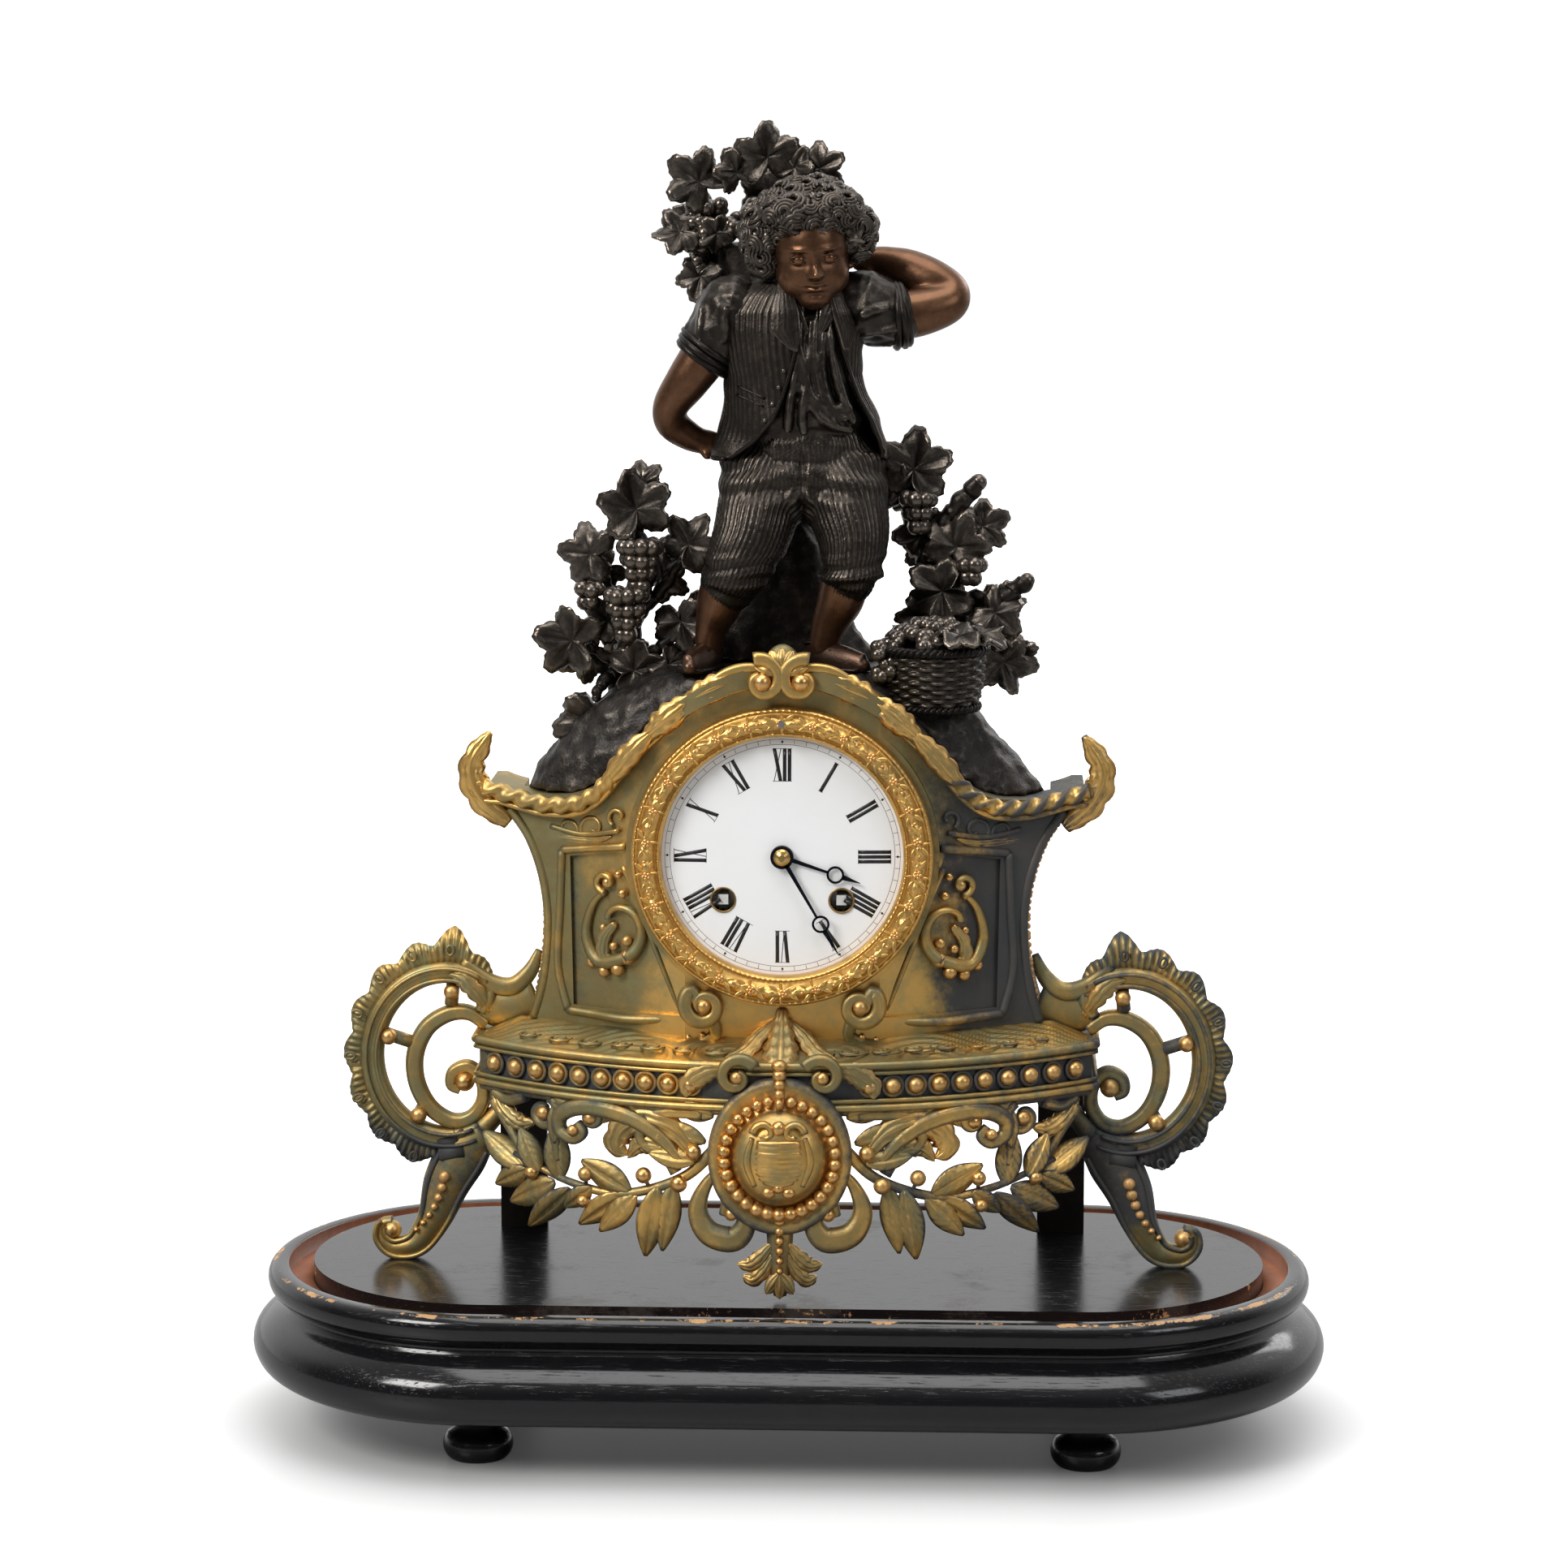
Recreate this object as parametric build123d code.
"""Figural mantel clock: a cast case with pierced scroll feet, a patinated grape picker on top,
a round two-train striking movement with a pendulum, and an ebonised oval plinth with a dome groove.

Millimetres. +Z up, the dial faces -Y, the origin is under the middle of the plinth, on the table.
"""
from build123d import *
from math import atan2, cos, degrees, hypot, pi, radians, sin, sqrt
import os

# Driving dimensions, in millimetres

OVERRUN = 2.0            # how far a cut runs past the faces that it opens
SEAT_GAP = 0.3           # gap between pieces that move past or rest near each other
RUNNING_GAP = 0.05       # radial clearance of a turning shaft in its hole

# Plinth
PLINTH_LENGTH = 405.0
PLINTH_DEPTH = 187.0
PLINTH_BOTTOM = 21.0     # underside of the moulding above the table
PLINTH_RIM_HEIGHT = 62.0
PLINTH_RIM_INSET = 6.0   # rim's outer edge inside the widest moulding
PLINTH_RIM_WIDTH = 8.0
DOME_GROOVE_WIDTH = 9.0
DOME_GROOVE_DEPTH = 6.5
TOP_BOARD_RISE = 0.5     # board stands this much above the rim
TOP_BOARD_THICKNESS = 9.0
FOOT_RADIUS = 13.0
FOOT_NECK_RADIUS = 8.0
FOOT_SPIGOT_RADIUS = 4.0
FOOT_SPIGOT_LENGTH = 10.0
FOOT_X = 112.0
FOOT_Y = 52.0

# Case
CASE_WALL = 4.0
PLATFORM_HALF = 115.0    # half width of the bow-fronted platform
PLATFORM_SIDE_Y = -20.0  # front edge of the platform at its ends
PLATFORM_BOW = 42.0      # how far its middle stands forward of its ends
PLATFORM_BACK_Y = 44.0
PLATFORM_BOTTOM = 134.0
PLATFORM_TOP = 151.0
BEAD_RADIUS = 2.7
BEADS_A_SIDE = 10
BODY_WAIST_HALF = 90.0
BODY_TOP_HALF = 106.0
BODY_FOOT_HALF = 98.0
BODY_WAIST_Z = 200.0
BODY_TOP_Z = 238.0
BODY_BACK_Y = 30.0
BODY_SIDE_Y = -8.0       # front of the body at its corners
DIAL_Z = 223.5
DIAL_FRONT_Y = -40.0     # front of the case boss that carries the bezel
BOSS_RADIUS = 57.0
ARCH_RISE = 63.0         # top of the case arch above the dial centre
CORNICE_HEIGHT = 7.0
CORNICE_LIP = 4.0        # how far the cornice stands out from the body
CREST_RISE = 9.0
FINIAL_RISE = 26.0
FINIAL_RADIUS = 4.6
# Corner finial stations: shares of the body's top half width, the finial's rise and its radius
FINIAL_SHARES = [(1.02, -0.05, 1.0), (1.065, 0.32, 0.9), (1.045, 0.7, 0.65), (1.0, 0.95, 0.3)]
SCALLOPS = 8

# Side scrolls, apron and rear legs
SCROLL_THICKNESS = 11.0
SCROLL_OUTER_X = 166.0
SCROLL_TOP_Z = 182.0
SCROLL_Y = -6.0          # middle plane of the side scrolls
APRON_THICKNESS = 6.0
CARTOUCHE_HALF_WIDTH = 27.0
CARTOUCHE_HALF_HEIGHT = 29.0
CARTOUCHE_Z = 116.0
LAUREL_TIP_X = 117.0
LAUREL_Z = 98.0
LAUREL_LEAVES = 6
# Apron volutes: shares of the platform's half width and of the apron's drop, then the turn in degrees
APRON_VOLUTE_SHARES = [(0.24, 0.42, 120), (0.5, 0.66, -60), (0.78, 0.74, 60)]
SCROLL_STRETCH_SHARE = 1.1
REAR_LEG_WIDTH = 18.0
REAR_LEG_THICKNESS = 4.0
REAR_LEG_X = 104.0

# Dial, bezel and hands
BEZEL_OUTER_RADIUS = 55.0
BEZEL_INNER_RADIUS = 44.0
BEZEL_HEIGHT = 9.0
BEZEL_FLANGE = 2.0
DIAL_RADIUS = 46.0
DIAL_SEAT_GAP = 1.0      # boss hole radius beyond the dial
DIAL_THICKNESS = 1.6
DIAL_DOME = 1.8          # rise of the enamel at its middle
WINDING_X = 21.5
WINDING_DROP = 16.2      # winding holes below the dial centre
WINDING_HOLE_RADIUS = 4.4
CENTRE_HOLE_RADIUS = 4.0
HOUR_HAND_LENGTH = 30.0
MINUTE_HAND_LENGTH = 41.5
HAND_THICKNESS = 0.6
HAND_SHAFT = 1.7
MOON_RADIUS = 4.2
HOUR_HAND_ANGLE = -18.5  # degrees from the +X axis, near twenty-five past three
MINUTE_HAND_ANGLE = -60.0

# Movement; places are measured from the dial centre
PLATE_RADIUS = 40.0
PLATE_THICKNESS = 2.0
PLATE_GAP = 22.0
FRONT_PLATE_Y = -30.0    # front face of the front plate
PILLAR_RADIUS = 2.6
PILLAR_CIRCLE = 35.5
PILLAR_ANGLES = [62, 118, 2, 178, 270]
RING_LIP = 2.0           # movement ring's radial wall and rear lip
DIAL_FOOT_RADIUS = 1.0
DIAL_FOOT_CIRCLE = 33.0
BARREL_RADIUS = 12.5
BARREL_LENGTH = 13.5
BARREL_TEETH = 64
BARREL_MODULE = 0.42
WHEEL_THICKNESS = 1.2
TRAIN_TEETH = 60
TRAIN_MODULE = 0.4
THIRD_TEETH = 56
THIRD_MODULE = 0.32
THIRD_DRIVE_MODULE = 0.36
PINION_LEAVES = 8
BARREL_PINION_LEAVES = 10
CENTRE_PINION_LEAVES = 12
PIN_WHEEL_TEETH = 36
ESCAPE_RADIUS = 8.0
ESCAPE_TEETH = 30
ARBOR_RADIUS = 1.1
PIVOT_RADIUS = 0.6
WINDING_ARBOR_RADIUS = 2.2
WINDING_SQUARE = 3.6
RATCHET_RADIUS = 6.0
RATCHET_TEETH = 16
CANNON_LEAVES = 14
MINUTE_TEETH = 42
MINUTE_PINION_LEAVES = 10
HOUR_TEETH = 40
MOTION_DISTANCE = 10.08  # minute wheel's stud above the centre
CANNON_WALL = 0.8
COUNT_WHEEL_RADIUS = 12.0
COUNT_WHEEL_NOTCHES = 11
PENDULUM_LENGTH = 137.0
PENDULUM_Y = 2.0
PENDULUM_ROD_RADIUS = 1.0
SUSPENSION_RISE = 43.0   # pendulum's swing axis above the dial centre
ANCHOR_RISE = 28.2
CRUTCH_LENGTH = 20.2
FORK_GAP = 0.35
BOB_RADIUS = 17.0
BOB_THICKNESS = 8.0
BELL_RADIUS = 29.0
BELL_DEPTH = 15.0
BELL_WALL = 1.6
BELL_Y = 8.0             # rim of the bell
BELL_X = 8.0
BELL_DROP = 4.0
HAMMER_X = -28.0
HAMMER_RISE = 20.0
HAMMER_HEAD_RADIUS = 3.0
REGULATOR_RISE = 49.5    # slow-fast arbor above the dial centre
REGULATOR_RADIUS = 1.25
STRAP_WIDTH = 10.0
STRAP_THICKNESS = 1.5
REAR_RING_OUTER = 50.0
REAR_RING_INNER = 42.0
REAR_RING_DEPTH = 4.0
COVER_RADIUS = 49.0
COVER_DEPTH = 6.0
COVER_WALL = 1.4
HINGE_OFFSET = 3.5       # hinge axis beyond the cover's edge
HINGE_PIN_RADIUS = 0.9
HINGE_KNUCKLE_RADIUS = 2.0
HINGE_LENGTH = 16.0

# Figure group; the boy's tables are shares of the figure's height, the mound's and vines' of the mound's span
MOUND_TOP_Z = 291.0
MOUND_SPAN = 183.0
FIGURE_HEIGHT = 183.0
FOOT_SHARE = -0.015      # level of the mound's flat cap, which the boy and the stump stand on
GRAPE_RADIUS = 3.6
HOD_FRUIT = 7
LEAF_THICKNESS = 2.0
BASKET_X = 54.0
BASKET_Y = -14.0
BASKET_RADIUS = 20.0
BASKET_HEIGHT = 30.0
# Mound sections: x, y, height, half width, half depth
MOUND_SHARES = [(0, 0, -0.33, 0.55, 0.17), (-0.01, 0, -0.21, 0.49, 0.17), (-0.01, 0, -0.11, 0.4, 0.165),
                (0.0, 0, -0.045, 0.32, 0.16), (0.0, 0, -0.015, 0.25, 0.145)]
TORSO_SHARES = [(0.032, -0.034, 0.30, 0.172, 0.09), (0.034, -0.032, 0.37, 0.152, 0.088),
                (0.034, -0.03, 0.45, 0.12, 0.086), (0.026, -0.034, 0.54, 0.132, 0.088),
                (0.016, -0.032, 0.63, 0.152, 0.09), (0.014, -0.028, 0.705, 0.15, 0.068),
                (0.018, -0.03, 0.745, 0.09, 0.05)]
HEAD_SHARES = [(0.024, -0.036, 0.745, 0.042, 0.042), (0.032, -0.06, 0.765, 0.062, 0.076),
               (0.037, -0.072, 0.82, 0.086, 0.098), (0.037, -0.066, 0.89, 0.096, 0.105),
               (0.034, -0.058, 0.95, 0.078, 0.09), (0.032, -0.052, 0.99, 0.035, 0.045)]
LEFT_LEG_SHARES = [(-0.052, -0.035, 0.30, 0.084, 0.09), (-0.09, -0.05, 0.24, 0.078, 0.085),
                   (-0.125, -0.052, 0.17, 0.06, 0.066), (-0.145, -0.045, 0.10, 0.043, 0.05),
                   (-0.15, -0.035, 0.04, 0.034, 0.04), (-0.152, -0.033, -0.015, 0.038, 0.05)]
RIGHT_LEG_SHARES = [(0.118, -0.032, 0.30, 0.084, 0.09), (0.142, -0.06, 0.24, 0.08, 0.088),
                    (0.135, -0.06, 0.17, 0.062, 0.068), (0.105, -0.04, 0.10, 0.045, 0.05),
                    (0.085, -0.03, 0.04, 0.035, 0.042), (0.082, -0.03, -0.015, 0.038, 0.05)]
# Limb stations: x, y, height, radius
LEFT_SHOE_SHARES = [(-0.155, -0.02, 0.006, 0.037), (-0.178, -0.13, 0.0, 0.03)]
RIGHT_SHOE_SHARES = [(0.088, -0.018, 0.006, 0.037), (0.135, -0.125, 0.0, 0.03)]
RAISED_ARM_SHARES = [(0.165, -0.02, 0.715, 0.06), (0.34, 0.02, 0.735, 0.05), (0.23, 0.06, 0.82, 0.04),
                     (0.155, 0.075, 0.875, 0.036)]
LOWERED_ARM_SHARES = [(-0.135, -0.02, 0.70, 0.06), (-0.262, 0.0, 0.53, 0.048), (-0.2, 0.055, 0.47, 0.038),
                      (-0.16, 0.085, 0.445, 0.034)]
STUMP_SHARES = [(0.0, 0.088, -0.015, 0.13, 0.062), (-0.01, 0.105, 0.1, 0.09, 0.058), (-0.015, 0.108, 0.2, 0.07, 0.05),
                (-0.02, 0.11, 0.285, 0.055, 0.045)]
HOD_SHARES = [(-0.01, 0.09, 0.36, 0.085, 0.07), (-0.03, 0.1, 0.6, 0.115, 0.085), (-0.045, 0.11, 0.83, 0.14, 0.1)]
HOD_BACK_SHARE = 0.06    # flat back of the hod, against the boy
SHOULDER_SHARES = [-0.115, 0.145]
LEFT_VINE_SHARES = [(-0.4, 0.03, -0.11, 0.035), (-0.37, 0.02, 0.08, 0.026), (-0.42, 0.0, 0.22, 0.02),
                    (-0.34, 0.0, 0.36, 0.012)]
RIGHT_VINE_SHARES = [(0.36, 0.085, -0.11, 0.035), (0.38, 0.09, 0.12, 0.026), (0.32, 0.06, 0.27, 0.02),
                     (0.4, 0.04, 0.42, 0.012)]
# Grape bunches: x, y, height of the top, count of rows
BUNCH_SHARES = [(-0.33, -0.024, 0.325, 3), (-0.465, -0.026, 0.195, 3), (0.275, 0.05, 0.272, 3), (0.44, 0.07, 0.2, 3)]
# Vine leaves: x, y, height, length, angle in degrees
LEAF_SHARES = [(-0.37, 0.016, 0.14, 0.14, 150), (-0.42, 0.0, 0.22, 0.16, 100), (-0.36, 0.0, 0.34, 0.13, 60),
               (-0.37, 0.02, 0.06, 0.15, 20), (0.37, 0.092, 0.1, 0.14, 30), (0.32, 0.061, 0.26, 0.15, 130),
               (0.385, 0.046, 0.38, 0.15, 70), (0.36, 0.08, 0.18, 0.13, -10)]

NODES = {}


# Shape helpers

def elevation(y):
    """Sketch plane facing the front at depth y: local x is X and local y is Z."""
    return Plane.XZ.offset(-y)


def slab(face, y_front, y_back):
    """Prism of a front-elevation face between two depths."""
    return extrude(elevation(y_back) * face, amount=y_back - y_front, dir=(0, -1, 0))


def column(face, z_bottom, z_top):
    """Prism of a plan face between two heights."""
    return extrude(Pos(0, 0, z_bottom) * face, amount=z_top - z_bottom, dir=(0, 0, 1))


def rod(x, z, y_front, y_back, radius):
    """Round bar along Y."""
    return Pos(x, y_back, z) * Rot(90, 0, 0) * Cylinder(
        radius, y_back - y_front, align=(Align.CENTER, Align.CENTER, Align.MIN))


def rod_up(x, y, z_bottom, z_top, radius):
    """Upright round bar."""
    return Pos(x, y, z_bottom) * Cylinder(radius, z_top - z_bottom, align=(Align.CENTER, Align.CENTER, Align.MIN))


def tube(x, z, y_front, y_back, outer, inner):
    """Hollow round bar along Y."""
    return rod(x, z, y_front, y_back, outer) - rod(x, z, y_front - OVERRUN, y_back + OVERRUN, inner)


def turned(points, x, z):
    """Turning about an axis along Y through (x, z): points are (radius, y)."""
    outline = make_face(Polyline(*[(r, y) for r, y in points], close=True))
    return Pos(x, 0, z) * revolve(outline, Axis.Y)


def limb(points):
    """Tapered round limb through (x, y, z, radius) stations: cones with a ball at each station."""
    pieces = [Pos(x, y, z) * Sphere(r) for x, y, z, r in points]
    for (x0, y0, z0, r0), (x1, y1, z1, r1) in zip(points, points[1:]):
        step = Vector(x1 - x0, y1 - y0, z1 - z0)
        span = step.length
        tilt = (r0 - r1) / span
        side = sqrt(1 - tilt * tilt)
        base = Vector(x0, y0, z0) + step.normalized() * (r0 * tilt)
        length = span - (r0 - r1) * tilt
        upright = (Align.CENTER, Align.CENTER, Align.MIN)
        bar = Cylinder(r0, length, align=upright) if r0 == r1 else Cone(
            r0 * side, r1 * side, length, align=upright)
        pieces.append(Plane(base, z_dir=step) * bar)
    return Part() + pieces


def ellipsoid(x, y, z, rx, ry, rz):
    """Ball stretched along the axes."""
    return Pos(x, y, z) * scale(Sphere(1), by=(rx, ry, rz))


def spiral_band(x, z, start, finish, from_angle, to_angle, start_width, finish_width, steps=14):
    """Face of a tapering scroll: its middle line runs from radius start to radius finish."""
    outer, inner = [], []
    for i in range(steps + 1):
        t = i / steps
        angle = radians(from_angle + (to_angle - from_angle) * t)
        middle = start + (finish - start) * t
        half = (start_width + (finish_width - start_width) * t) / 2
        outer.append((x + (middle + half) * cos(angle), z + (middle + half) * sin(angle)))
        inner.append((x + (middle - half) * cos(angle), z + (middle - half) * sin(angle)))
    edges = [Spline(*outer), Line(outer[-1], inner[-1]), Spline(*inner[::-1]), Line(inner[0], outer[0])]
    return make_face(edges)


def disc(x, z, radius):
    """Round face in front elevation."""
    return Pos(x, z) * Circle(radius)


def blade(x, z, length, width, angle):
    """Lens-shaped leaf face with its stalk end at (x, z), pointing along angle degrees."""
    half = length / 2
    bulge = width / 2
    lens = make_face([ThreePointArc((0, 0), (half, bulge), (length, 0)),
                      ThreePointArc((length, 0), (half, -bulge), (0, 0))])
    return Pos(x, z) * Rot(0, 0, angle) * lens


def mirrored(face):
    """The face and its mirror image about the clock's middle plane."""
    return face + mirror(face, about=Plane.YZ)


def node(name, shape):
    """Keeps a finished sub-part under its name."""
    NODES[name] = shape
    return shape


# Plinth

def plinth():
    widest = PLINTH_DEPTH / 2
    straight = PLINTH_LENGTH / 2 - widest
    rim_outer = widest - PLINTH_RIM_INSET
    rim_inner = rim_outer - PLINTH_RIM_WIDTH
    groove_inner = rim_inner - DOME_GROOVE_WIDTH
    rim = PLINTH_RIM_HEIGHT
    groove_floor = rim - DOME_GROOVE_DEPTH
    board_floor = rim + TOP_BOARD_RISE - TOP_BOARD_THICKNESS
    body_height = rim - PLINTH_BOTTOM
    rim_thickness = 0.24 * body_height
    cove = rim_outer - 0.16 * body_height
    under = widest - 0.34 * body_height
    profile = make_face([
        Line((0, PLINTH_BOTTOM), (under, PLINTH_BOTTOM)),
        Spline((under, PLINTH_BOTTOM), (widest, PLINTH_BOTTOM + 0.30 * body_height),
               (cove, rim - 1.5 * rim_thickness), tangents=((1, 0.15), (-0.35, 1))),
        Line((cove, rim - 1.5 * rim_thickness), (cove, rim - 1.25 * rim_thickness)),
        Line((cove, rim - 1.25 * rim_thickness), (rim_outer - 0.3 * rim_thickness, rim - rim_thickness)),
        ThreePointArc((rim_outer - 0.3 * rim_thickness, rim - rim_thickness),
                      (rim_outer, rim - rim_thickness / 2), (rim_outer - 0.3 * rim_thickness, rim)),
        Line((rim_outer - 0.3 * rim_thickness, rim), (rim_inner, rim)),
        Line((rim_inner, rim), (rim_inner, groove_floor)),
        Line((rim_inner, groove_floor), (groove_inner, groove_floor)),
        Line((groove_inner, groove_floor), (groove_inner, board_floor)),
        Line((groove_inner, board_floor), (0, board_floor)),
        Line((0, board_floor), (0, PLINTH_BOTTOM)),
    ])
    section = Plane.YZ.offset(straight) * profile
    right_end = revolve(section, Axis((straight, 0, 0), (0, 0, -1)), 180)
    middle = extrude(section + mirror(section, about=Plane.XZ), amount=-2 * straight)
    body = right_end + middle + mirror(right_end, about=Plane.YZ)
    board = extrude(SlotOverall(2 * (straight + groove_inner - SEAT_GAP), 2 * (groove_inner - SEAT_GAP)),
                    TOP_BOARD_THICKNESS)
    foot_outline = make_face([
        Line((0, 0), (0.82 * FOOT_RADIUS, 0)),
        ThreePointArc((0.82 * FOOT_RADIUS, 0), (FOOT_RADIUS, 0.22 * PLINTH_BOTTOM),
                      (0.86 * FOOT_RADIUS, 0.45 * PLINTH_BOTTOM)),
        ThreePointArc((0.86 * FOOT_RADIUS, 0.45 * PLINTH_BOTTOM), (FOOT_NECK_RADIUS, 0.68 * PLINTH_BOTTOM),
                      (0.8 * FOOT_RADIUS, PLINTH_BOTTOM)),
        Line((0.8 * FOOT_RADIUS, PLINTH_BOTTOM), (FOOT_SPIGOT_RADIUS, PLINTH_BOTTOM)),
        Line((FOOT_SPIGOT_RADIUS, PLINTH_BOTTOM), (FOOT_SPIGOT_RADIUS, PLINTH_BOTTOM + FOOT_SPIGOT_LENGTH)),
        Line((FOOT_SPIGOT_RADIUS, PLINTH_BOTTOM + FOOT_SPIGOT_LENGTH), (0, PLINTH_BOTTOM + FOOT_SPIGOT_LENGTH)),
        Line((0, PLINTH_BOTTOM + FOOT_SPIGOT_LENGTH), (0, 0)),
    ])
    foot = revolve(Plane.XZ * foot_outline, Axis.Z)
    places = [Pos(sx * FOOT_X, sy * FOOT_Y, 0) for sx in (-1, 1) for sy in (-1, 1)]
    socket = Cylinder(FOOT_SPIGOT_RADIUS + RUNNING_GAP, FOOT_SPIGOT_LENGTH + OVERRUN + SEAT_GAP,
                      align=(Align.CENTER, Align.CENTER, Align.MIN))
    for place in places:
        body -= place * Pos(0, 0, PLINTH_BOTTOM - OVERRUN) * socket
    node("plinth_body", body)
    node("plinth_top_board", Pos(0, 0, board_floor) * board)
    node("plinth_feet", Compound([place * foot for place in places]))


# Case body

def crown_points(inset):
    """Top line of the case front, from the right corner to the middle of the arch."""
    rise = BODY_TOP_Z - PLATFORM_TOP
    top = BODY_TOP_HALF - inset
    shoulder = BODY_TOP_Z - inset
    arch = DIAL_Z + ARCH_RISE - inset
    return [(top, shoulder), (0.82 * top, shoulder - 0.04 * rise), (0.66 * top, shoulder + 0.01 * rise),
            (0.48 * top, shoulder + 0.26 * rise), (0.27 * top, arch - 0.09 * rise), (0, arch)]


def side_points(inset):
    """Waisted right-hand edge of the case front, from the platform up."""
    rise = BODY_TOP_Z - PLATFORM_TOP
    waist = BODY_WAIST_HALF - inset
    return [(BODY_FOOT_HALF - inset, PLATFORM_TOP), (waist + 0.02 * rise, PLATFORM_TOP + 0.25 * rise),
            (waist, BODY_WAIST_Z), (BODY_TOP_HALF - inset, BODY_TOP_Z - inset)]


def plan_half(inset):
    """Right half of the bow-fronted case plan, drawn in by inset."""
    bow = BODY_SIDE_Y - DIAL_FRONT_Y
    middle = DIAL_FRONT_Y + 0.1 * bow + inset
    edge = BODY_SIDE_Y + inset
    back = BODY_BACK_Y - inset
    reach = BODY_TOP_HALF + 2 * CORNICE_LIP
    front = [(reach, edge), (0.82 * reach, edge - 0.18 * bow), (0.64 * reach, edge - 0.5 * bow),
             (0.45 * reach, middle + 0.06 * bow), (0, middle)]
    return make_face([Spline(*front), Line((0, middle), (0, back)), Line((0, back), (reach, back)),
                      Line((reach, back), (reach, edge))])


def body_solid(inset):
    """Waisted, bow-fronted case block, drawn in by inset on every face but the bottom."""
    side, crown = side_points(inset), crown_points(inset)
    half = make_face([Spline(*side), Spline(*crown), Line(crown[-1], (0, PLATFORM_TOP)),
                      Line((0, PLATFORM_TOP), side[0])])
    block = slab(half, DIAL_FRONT_Y, BODY_BACK_Y) & column(plan_half(inset), 0, DIAL_Z + ARCH_RISE)
    return block + mirror(block, about=Plane.YZ)


def case_body():
    outer = body_solid(0)
    inner = body_solid(CASE_WALL)
    boss = rod(0, DIAL_Z, DIAL_FRONT_Y, DIAL_FRONT_Y + 3 * CASE_WALL, BOSS_RADIUS)
    hollow = inner + Pos(0, 0, -OVERRUN) * inner - boss
    panel_height = BODY_WAIST_Z - PLATFORM_TOP
    panel = make_face(Polyline(
        (0.87 * BODY_WAIST_HALF, PLATFORM_TOP + 0.26 * panel_height),
        (0.88 * BODY_WAIST_HALF, DIAL_Z - CASE_WALL),
        (0.66 * BODY_WAIST_HALF, DIAL_Z),
        (0.40 * BODY_WAIST_HALF, PLATFORM_TOP + 0.26 * panel_height), close=True))
    recess = slab(mirrored(panel), DIAL_FRONT_Y - OVERRUN, 0) - body_solid(CASE_WALL / 2) - boss
    through = rod(0, DIAL_Z, DIAL_FRONT_Y - OVERRUN, BODY_BACK_Y + OVERRUN, DIAL_RADIUS + DIAL_SEAT_GAP)
    case = outer + boss - recess - hollow - through
    case -= rod(0, DIAL_Z + REGULATOR_RISE, DIAL_FRONT_Y - OVERRUN, FRONT_PLATE_Y + 2 * CASE_WALL,
                REGULATOR_RADIUS + SEAT_GAP)
    node("case_body", case)


def below_line(line, reach):
    """Front-elevation face from the platform up to a top line, run out to reach at its end."""
    corner = (reach, line[0][1])
    return make_face([Line((reach, PLATFORM_TOP), corner), Line(corner, line[0]), Spline(*line),
                      Line(line[-1], (0, PLATFORM_TOP)), Line((0, PLATFORM_TOP), (reach, PLATFORM_TOP))])


def cornice():
    """Moulding along the top edge of the case, with its crest and corner finials."""
    low = crown_points(0)
    lift = [(x, z + CORNICE_HEIGHT) for x, z in low]
    reach = BODY_TOP_HALF + CORNICE_LIP
    top = DIAL_Z + ARCH_RISE + CORNICE_HEIGHT
    wall = 2 * CORNICE_LIP
    under = slab(below_line(low, reach), DIAL_FRONT_Y - 2 * wall, BODY_BACK_Y + OVERRUN)
    moulding = slab(below_line(lift, reach), DIAL_FRONT_Y - wall, BODY_BACK_Y - 1.5 * wall)
    moulding = moulding & column(plan_half(-CORNICE_LIP), 0, top + OVERRUN)
    inner = Pos(-2 * wall, 0, 0) * column(plan_half(wall), -OVERRUN, top + 2 * OVERRUN)
    moulding = moulding - under - inner
    moulding = moulding + mirror(moulding, about=Plane.YZ)
    moulding -= rod(0, DIAL_Z, DIAL_FRONT_Y - 2 * wall, DIAL_FRONT_Y + wall, BOSS_RADIUS)
    fan_z = top - 0.2 * CREST_RISE
    front = DIAL_FRONT_Y + CORNICE_LIP / 2
    crest = ellipsoid(0, front, fan_z, 0.75 * CREST_RISE, CORNICE_LIP, CREST_RISE)
    for side in (-1, 1):
        crest += Pos(side * 0.75 * CREST_RISE, front - CORNICE_LIP / 2, fan_z - 0.5 * CREST_RISE) * Sphere(
            0.55 * CREST_RISE)
    crest -= rod(0, DIAL_Z, DIAL_FRONT_Y - 3 * wall, DIAL_FRONT_Y + wall, BOSS_RADIUS)
    node("cornice", moulding + (crest - NODES["case_body"]))
    horn = limb([(x * BODY_TOP_HALF, BODY_SIDE_Y, BODY_TOP_Z + z * FINIAL_RISE, r * FINIAL_RADIUS)
                 for x, z, r in FINIAL_SHARES])
    finials = Part() + [horn, mirror(horn, about=Plane.YZ)] - moulding - NODES["case_body"]
    node("corner_finials", finials)


# Platform, side scrolls, apron and rear legs

def bow_radius():
    """Radius of the platform's bowed front."""
    return (PLATFORM_HALF ** 2 + PLATFORM_BOW ** 2) / (2 * PLATFORM_BOW)


def bow_centre_y():
    return PLATFORM_SIDE_Y - PLATFORM_BOW + bow_radius()


def bow_front_y(x, inset=0):
    """Depth of the bowed front at a place along it."""
    return bow_centre_y() - sqrt((bow_radius() - inset) ** 2 - x ** 2)


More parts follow.
